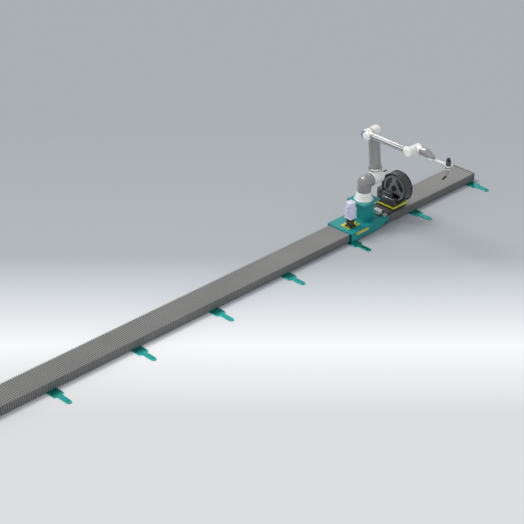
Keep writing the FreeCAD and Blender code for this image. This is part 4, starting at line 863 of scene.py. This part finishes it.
# Neck steel: drawn, greyer than the bracket. Nozzle steel: darkened by the heat of the arc.
neck_steel = metal("drawn steel", "#9c9c9b", "#8a8a89", 0.28, grain=(1, 1, 10))
nozzle_steel = metal("heat darkened nozzle steel", "#5a5550", "#3a3835", 0.34, grain=(2, 2, 2))
dress("torch_bracket", blasted, edge=1.5 * mm)
dress("torch_neck", neck_steel)
dress("torch_nozzle", nozzle_steel, edge=1.5 * mm)
barrel_foot, tall = box_foot("torch_body", 2)
rib_pitch = 11
barrel = [(0, 0), (0, 27, 1), (2, 28.5, 1)]
barrel += [
    (4 + rib_pitch * step + part, radius)
    for step in range(3) for part, radius in ((0, 29), (5.5, 29), (6, 26.5), (10.5, 26.5))
]
barrel += [(37, 29), (tall - 8, 29), (tall - 6, 27.5), (tall, 26, 3), (tall, 0)]
piece("torch_barrel", "tool", barrel_plastic, [turned(barrel, barrel_foot, upward, 72)], ["torch_body"])
band = [(9, 20), (9, 28.4), (12.6, 28.4), (12.6, 20), (9, 20)]
bands = [turned(band, barrel_foot + (0, 0, rib_pitch * step * mm), upward, 72) for step in range(3)]
piece("torch_bands", "tool", grip_steel, bands)
cap_foot, tall = box_foot("torch_cap", 2)
cap = [(0, 0), (0, 18.8, 1)]
cap += [
    (4 + 2.4 * step + part, radius)
    for step in range(7) for part, radius in ((0, 18.9), (1.2, 18.9), (1.6, 18), (2, 18))
]
cap += [(22, 18.9), (tall - 2, 18.9, 1.5), (tall, 17, 1), (tall, 0)]
piece("torch_top_cap", "tool", black_plastic, [turned(cap, cap_foot, upward, 72)], ["torch_cap"])
collar_foot, tall = box_foot("torch_ring", 2)
collar_foot[:2] = cap_foot[:2]
collar = [(tall * 0.4, 0), (tall * 0.4, 22, 2), (tall * 0.55, 25.8, 2), (tall, 25.8, 1), (tall, 0)]
piece("torch_collar", "tool", white_plastic, [turned(collar, collar_foot, upward, 72)], ["torch_ring"])
cone = [(0, 0), (0, 12, 1), (tall * 0.42, 17, 3), (tall * 0.42, 0)]
piece("torch_cone", "tool", grip_steel, [turned(cone, collar_foot, upward, 48)])

# Feeder bracket and tray
# A bent steel shelf on two arms stands out over the bellows. The yellow tray sits on it on two rubber strips,
# and four bolts through its floor hold it down.

# Dark grey coat: a satin shade darker than the cloth below it
dark_coat = paint("dark grey powder coat", "#3a3b3e", "#48494b", roughness=0.4)
dress("feeder_bracket", dark_coat, edge=2.0 * mm)
dress("tray_dampers", buffer_rubber)
dress("feeder_tray", yellow_coat, edge=1.2 * mm)
low, high = extent("feeder_tray")
tray_floor = low[2] + 3 * mm
heads = [turned(button, spot, upward, 12) for spot in four_spots(low, high, (10 * mm, 20 * mm), tray_floor)]
piece("tray_screws", "carriage", zinc_plate, heads)

# Wire feeder
# A dark moulded base, and on its far side the taller housing of the wire drive, whose door has raised ribs
# and a latch. An apron runs along the whole front, with a pale polished strip along its top edge that stands
# in for the highlight there, and the drive's cover stands on it before the drum.

# Charcoal plastic: half glossy, so that its rounded edges shine
feeder_plastic = moulded("charcoal moulded plastic", "#414244", "#4b4c4e", 0.28, gloss=0.6)
dress("feeder_base", feeder_plastic, edge=2.5 * mm)
dress("wire_drive", feeder_plastic, edge=3.0 * mm)
low, high = extent("feeder_base")
front = low[0] - 2 * mm
apron_low = (front, low[1] - 36 * mm, low[2] + 2 * mm)
apron_high = (front + 30 * mm, high[1] - 1 * mm, high[2] - 14 * mm)
cover_low = (front + 4 * mm, low[1] + 6 * mm, high[2] - 20 * mm)
cover_high = (front + 26 * mm, high[1], high[2] + 42 * mm)
shapes = [
    slab(apron_low, apron_high, edge=3 * mm, corner=5 * mm),
    slab(cover_low, cover_high, edge=3 * mm, corner=8 * mm),
]
piece("feeder_apron", "carriage", feeder_plastic, shapes)
# Painted highlight: a pale polished strip along the apron's top edge stands in for the bright line of its
# shine
highlight_strip_low = (front - 1.5 * mm, apron_low[1] + 4 * mm, apron_high[2] - 8 * mm)
highlight_strip_high = (front + 1 * mm, apron_high[1] - 5 * mm, apron_high[2] - 3 * mm)
piece("feeder_highlight_strip", "carriage", bright_ring, [slab(highlight_strip_low, highlight_strip_high, edge=1 * mm)])
low, high = extent("wire_drive")
door_low = np.array((low[0] - 4 * mm, low[1] + 8 * mm, low[2] + 22 * mm))
door_high = np.array((low[0] + 3 * mm, high[1] - 8 * mm, high[2] - 14 * mm))
rib_start, rib_pitch, rib_width = 12 * mm, 8 * mm, 3 * mm
shapes = [slab(door_low, door_high, edge=2.5 * mm, corner=6 * mm)]
for step in range(3):
    rib_low = door_low + (-1.5 * mm, 6 * mm, rib_start + step * rib_pitch)
    rib_high = (low[0], door_high[1] - 6 * mm, rib_low[2] + rib_width)
    shapes.append(slab(rib_low, rib_high, edge=1.2 * mm))
piece("drive_door", "carriage", feeder_plastic, shapes)
latch_low = (low[0] - 9 * mm, low[1] + 12 * mm, high[2] - 50 * mm)
latch_high = (low[0] - 2 * mm, low[1] + 24 * mm, high[2] - 28 * mm)
piece("drive_latch", "carriage", black_plastic, [slab(latch_low, latch_high, edge=2.5 * mm)])

# Wire drum
# An open drum of dark plastic that houses the spool: a shell with a rolled rim at each end and two raised
# hoops, a paler lining, a closed back, and the fixed axle in its middle.

# Drum plastic: near black and glossy. Its lining: a lighter, duller grey.
drum_plastic = moulded("dark drum plastic", "#1f2022", "#28292b", 0.24, gloss=0.8)
drum_inside = moulded("lighter drum lining", "#6b6c6e", "#5c5d5f", 0.4, gloss=0.2)
drum_foot, width = box_foot("wire_drum", 0)
rim = (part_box("wire_drum")[1][2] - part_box("wire_drum")[0][2]) / 2 / mm
wall = rim - 8.6
inside = rim - 14.2
back = width - 5
shell = [(3, inside), (0, rim - 11, 2), (0, rim, 3), (8, rim, 3), (8, wall, 2)]
for hoop_start in (0.32, 0.62):
    hoop_line = ((0, wall), (0.02, rim - 6), (0.06, rim - 6), (0.08, wall))
    shell += [(width * (hoop_start + part), radius) for part, radius in hoop_line]
shell += [
    (width - 8, wall, 2), (width - 8, rim, 3), (width, rim, 3), (width, rim - 12, 2), (width - 3, rim - 16),
    (width - 3, 60), (width, 56, 2), (width, 0), (back, 0), (back, inside, 6), (3, inside),
]
piece("drum_shell", "carriage", drum_plastic, [turned(shell, drum_foot, onward, 144)], ["wire_drum"])
lining = [
    (1.2, inside + 0.2), (1.2, inside - 0.7), (back - 1, inside - 0.9, 5), (back - 1, 30), (back - 0.2, 30),
    (back - 0.2, inside - 0.1, 6), (1.2, inside + 0.2),
]
piece("drum_lining", "carriage", drum_inside, [turned(lining, drum_foot, onward, 144)])
axle = [(14, 0), (14, 22, 2), (18, 24), (back, 24), (back, 0)]
piece("drum_axle", "carriage", zinc_plate, [turned(axle, drum_foot, onward, 48)])

# Wire spool
# A moulded spool that turns on the axle. Each flange is two hoops joined by three broad spokes, and between
# them lies the welding wire, wound in even turns. A black star knob keeps the spool on its axle.


def hoop(inner, outer, start, end, foot):
    """A flat ring between two radii and two distances along the axle, with a softened section."""
    loop = [(start, inner), (start, outer, 1.2), (end, outer, 1.2), (end, inner), (start, inner)]
    return turned(loop, foot, onward, 120)


def spoke(inner, outer, start, end, width, turn, foot):
    """A bar from the inner to the outer hoop at a turn about the axle. It narrows in its middle by the square
    of the distance from there, and closes at both ends."""
    share = np.linspace(-1, 1, 9)
    radius = (inner + outer) / 2 + (outer - inner) / 2 * share
    half = width / 2 * (0.55 + 0.45 * share ** 2)
    loop = np.array([(start, -1), (end, -1), (end, 1), (start, 1), (start, -1)], float)
    x = np.broadcast_to(loop[:, 0], (9, 5))
    across = half[:, None] * loop[:, 1]
    along = np.broadcast_to(radius[:, None], (9, 5))
    y = along * np.cos(turn) - across * np.sin(turn)
    z = along * np.sin(turn) + across * np.cos(turn)
    grid = np.stack([x, y, z], -1)
    ends = np.repeat(grid[[0, -1], :4].mean(1)[:, None], 5, 1)
    grid = np.concatenate([ends[:1], grid, ends[1:]])
    return np.array(foot) + grid * mm


# Spool plastic: mid grey and glossy
spool_plastic = moulded("grey spool plastic", "#7e7f81", "#727375", 0.26, gloss=0.8)
spool_foot, width = box_foot("wire_spool", 0)
flange = 5
bore, hub = 24.2, 66
rim_in, rim_out = 124, 147.5
spoke_width, spoke_sunk = 92, 0.8
first_turn = 1.5
shapes = []
for start in (0.0, width - flange):
    end = start + flange
    shapes += [hoop(bore, hub, start, end, spool_foot), hoop(rim_in, rim_out, start, end, spool_foot)]
    for number in range(3):
        turn = number * 2 * np.pi / 3 + first_turn
        sides = (start + spoke_sunk, end - spoke_sunk)
        shapes.append(spoke(hub - 1, rim_in + 1, *sides, spoke_width, turn, spool_foot))
core = [(4, bore), (4, 61.5), (width - 4, 61.5), (width - 4, bore), (4, bore)]
shapes.append(turned(core, spool_foot, onward, 96))
piece("spool_frame", "spool", spool_plastic, shapes, ["wire_spool"])
# Steel wire: dark grey with a dull shine, its turns drawn at 4 mm because the real 1.2 mm doesn't show
wire_steel = metal("drawn welding wire", "#5d5a57", "#4a4846", 0.3, grain=(0.4, 2, 2))
winding_foot, width = box_foot("wire_winding", 0)
winding_foot[1:] = spool_foot[1:]
valley = (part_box("wire_winding")[1][2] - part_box("wire_winding")[0][2]) / 2 / mm - 2
turn_pitch = 4
count = int(width / turn_pitch)
step = width / count
turns = [(0, 62.2), (0, valley)]
turns += [
    (step * (number + share), valley + lift)
    for number in range(count) for share, lift in ((0.25, 1.5), (0.5, 2.0), (0.75, 1.5), (1.0, 0.0))
]
turns += [(width, 62.2), (0, 62.2)]
wound = turned(turns, winding_foot, onward, 120)
piece("wire_turns", "spool", wire_steel, [wound], ["wire_winding"], sharp=70)
dress("spool_knob", black_plastic, edge=2.5 * mm)

# Boxes on the carriage's far end
# A white junction box with a screwed lid takes the carriage's wiring. A limit switch in a die cast case sits
# at the corner.
low, high = extent("junction_box")
lid_lip = 2.5 * mm
shapes = [
    slab(low + (lid_lip, lid_lip, 0), high - (lid_lip, lid_lip, 9 * mm), edge=1.5 * mm, corner=8 * mm),
    slab((low[0], low[1], high[2] - 8.4 * mm), high, edge=2.5 * mm, corner=10 * mm),
]
piece("junction_case", "carriage", white_plastic, shapes, ["junction_box"])
flush = [(-1, 0), (-1, 3.2), (0.7, 3.2), (0.7, 1.6), (-0.2, 1.4), (-0.2, 0)]
spots = four_spots(low, high, (9 * mm, 9 * mm), high[2] - 0.8 * mm)
piece("junction_screws", "carriage", zinc_plate, [turned(flush, spot, upward, 12) for spot in spots])
# Die cast zinc: pale grey, its skin mottled by the mould
die_cast = metal("die cast zinc", "#c4c5c6", "#b0b1b2", 0.36, grain_size=0.7 * mm)
dress("limit_switch", die_cast, edge=2.0 * mm)

# Floor, light and view
# A smooth pale floor, lit softly from high behind the track, so that shadows fall towards the viewer.
# The camera stands where the photograph's did, with its lens worked out from the track's straight edges.
photo_side = 524
focal_pixels = 1494.395
camera_pitch = 0.516882
camera_turn = 0.796159
camera_place = np.array([-8970.72, -9489.06, 7712.12]) * mm
floor_reach = 60.0

# Painted light on the floor, as colours at distances along the view in metres: pale grey before the viewer, a
# white pool of light on the near side of the track, and grey where the light falls off under the track and
# behind
painted_floor_light = [(-2.2, "#e0e0e0"), (-1.1, "#fcfcfc"), (-0.1, "#d4d8dc"), (0.6, "#b6babe"), (3.8, "#acb0b4")]


def studio_floor(name):
    """Painted concrete floor, smooth and matt, whose colour carries painted light: it fades from white near
    the viewer to grey behind."""
    material, tree = empty_material(name)
    place = add(tree, "ShaderNodeTexCoord").outputs["Object"]
    nearest, farthest = painted_floor_light[0][0], painted_floor_light[-1][0]
    view_along = (float(np.cos(camera_turn)), float(np.sin(camera_turn)), 0.0)
    distance = add(tree, "ShaderNodeVectorMath", {"operation": "DOT_PRODUCT", 1: view_along}, {0: place})
    share = add(
        tree, "ShaderNodeMapRange", {"From Min": nearest, "From Max": farthest},
        {"Value": distance.outputs["Value"]},
    )
    stops = [((reach - nearest) / (farthest - nearest), colour) for reach, colour in painted_floor_light]
    shade = add(tree, "ShaderNodeValToRGB", {}, {"Fac": share.outputs[0]}, stops)
    shader = add(
        tree, "ShaderNodeBsdfPrincipled", {"Roughness": 0.9, "Specular IOR Level": 0.1},
        {"Base Color": shade.outputs["Color"]},
    )
    add(tree, "ShaderNodeOutputMaterial", {}, {"Surface": shader.outputs[0]})
    return material


corner = np.array([-floor_reach, floor_reach])
floor_points = np.zeros((2, 2, 3))
floor_points[..., 0] = corner[None, :]
floor_points[..., 1] = corner[:, None]
floor = piece("floor", None, studio_floor("matt studio floor"), [floor_points])

world = bpy.data.worlds.new("studio")
bpy.context.scene.world = world
world.use_nodes = True
world.node_tree.nodes.clear()
sky = add(world.node_tree, "ShaderNodeBackground", {"Color": linear("#f6f8fb"), "Strength": 0.62})
add(world.node_tree, "ShaderNodeOutputWorld", {}, {"Surface": sky.outputs[0]})


def facing(direction):
    """Turn that points an object's back along the direction, so that a lamp or lens there looks the other
    way."""
    back = direction / np.linalg.norm(direction)
    right = np.cross([0, 0, 1], back)
    right /= np.linalg.norm(right)
    return Matrix(np.stack([right, np.cross(back, right), back], -1).tolist())


sun = bpy.data.lights.new("window", "SUN")
sun.energy = 1.5
sun.angle = np.radians(24)
sun_from = np.array([-0.35, 0.55, 1.0])
sun_object = bpy.data.objects.new("window", sun)
sun_object.matrix_world = facing(sun_from).to_4x4()
bpy.context.collection.objects.link(sun_object)

# Two long ceiling windows that only shiny surfaces mirror, as bright lines on tubes and patches on domes
window_middle = np.array([2.0, 1.3, 4.3])
window_apart = np.array([1.9, 0.0, 0.0])
for side in (-0.5, 0.5):
    window = bpy.data.lights.new("ceiling_window", "AREA")
    window.shape = "RECTANGLE"
    window.size = 1.3
    window.size_y = 4.5
    window.energy = 110
    pane = bpy.data.objects.new("ceiling_window", window)
    pane.matrix_world = Matrix.Translation((window_middle + side * window_apart).tolist())
    pane.visible_diffuse = False
    pane.visible_camera = False
    bpy.context.collection.objects.link(pane)

lens = bpy.data.cameras.new("photograph")
lens.sensor_width = 36
lens.lens = focal_pixels / photo_side * lens.sensor_width
lens.clip_end = 200
camera = bpy.data.objects.new("photograph", lens)
bpy.context.collection.objects.link(camera)
level = (np.cos(camera_pitch) * np.cos(camera_turn), np.cos(camera_pitch) * np.sin(camera_turn))
forward = np.array([*level, -np.sin(camera_pitch)])
camera.matrix_world = Matrix.Translation(camera_place.tolist()) @ facing(-forward).to_4x4()
bpy.context.scene.camera = camera

bpy.context.scene.view_settings.view_transform = "Standard"
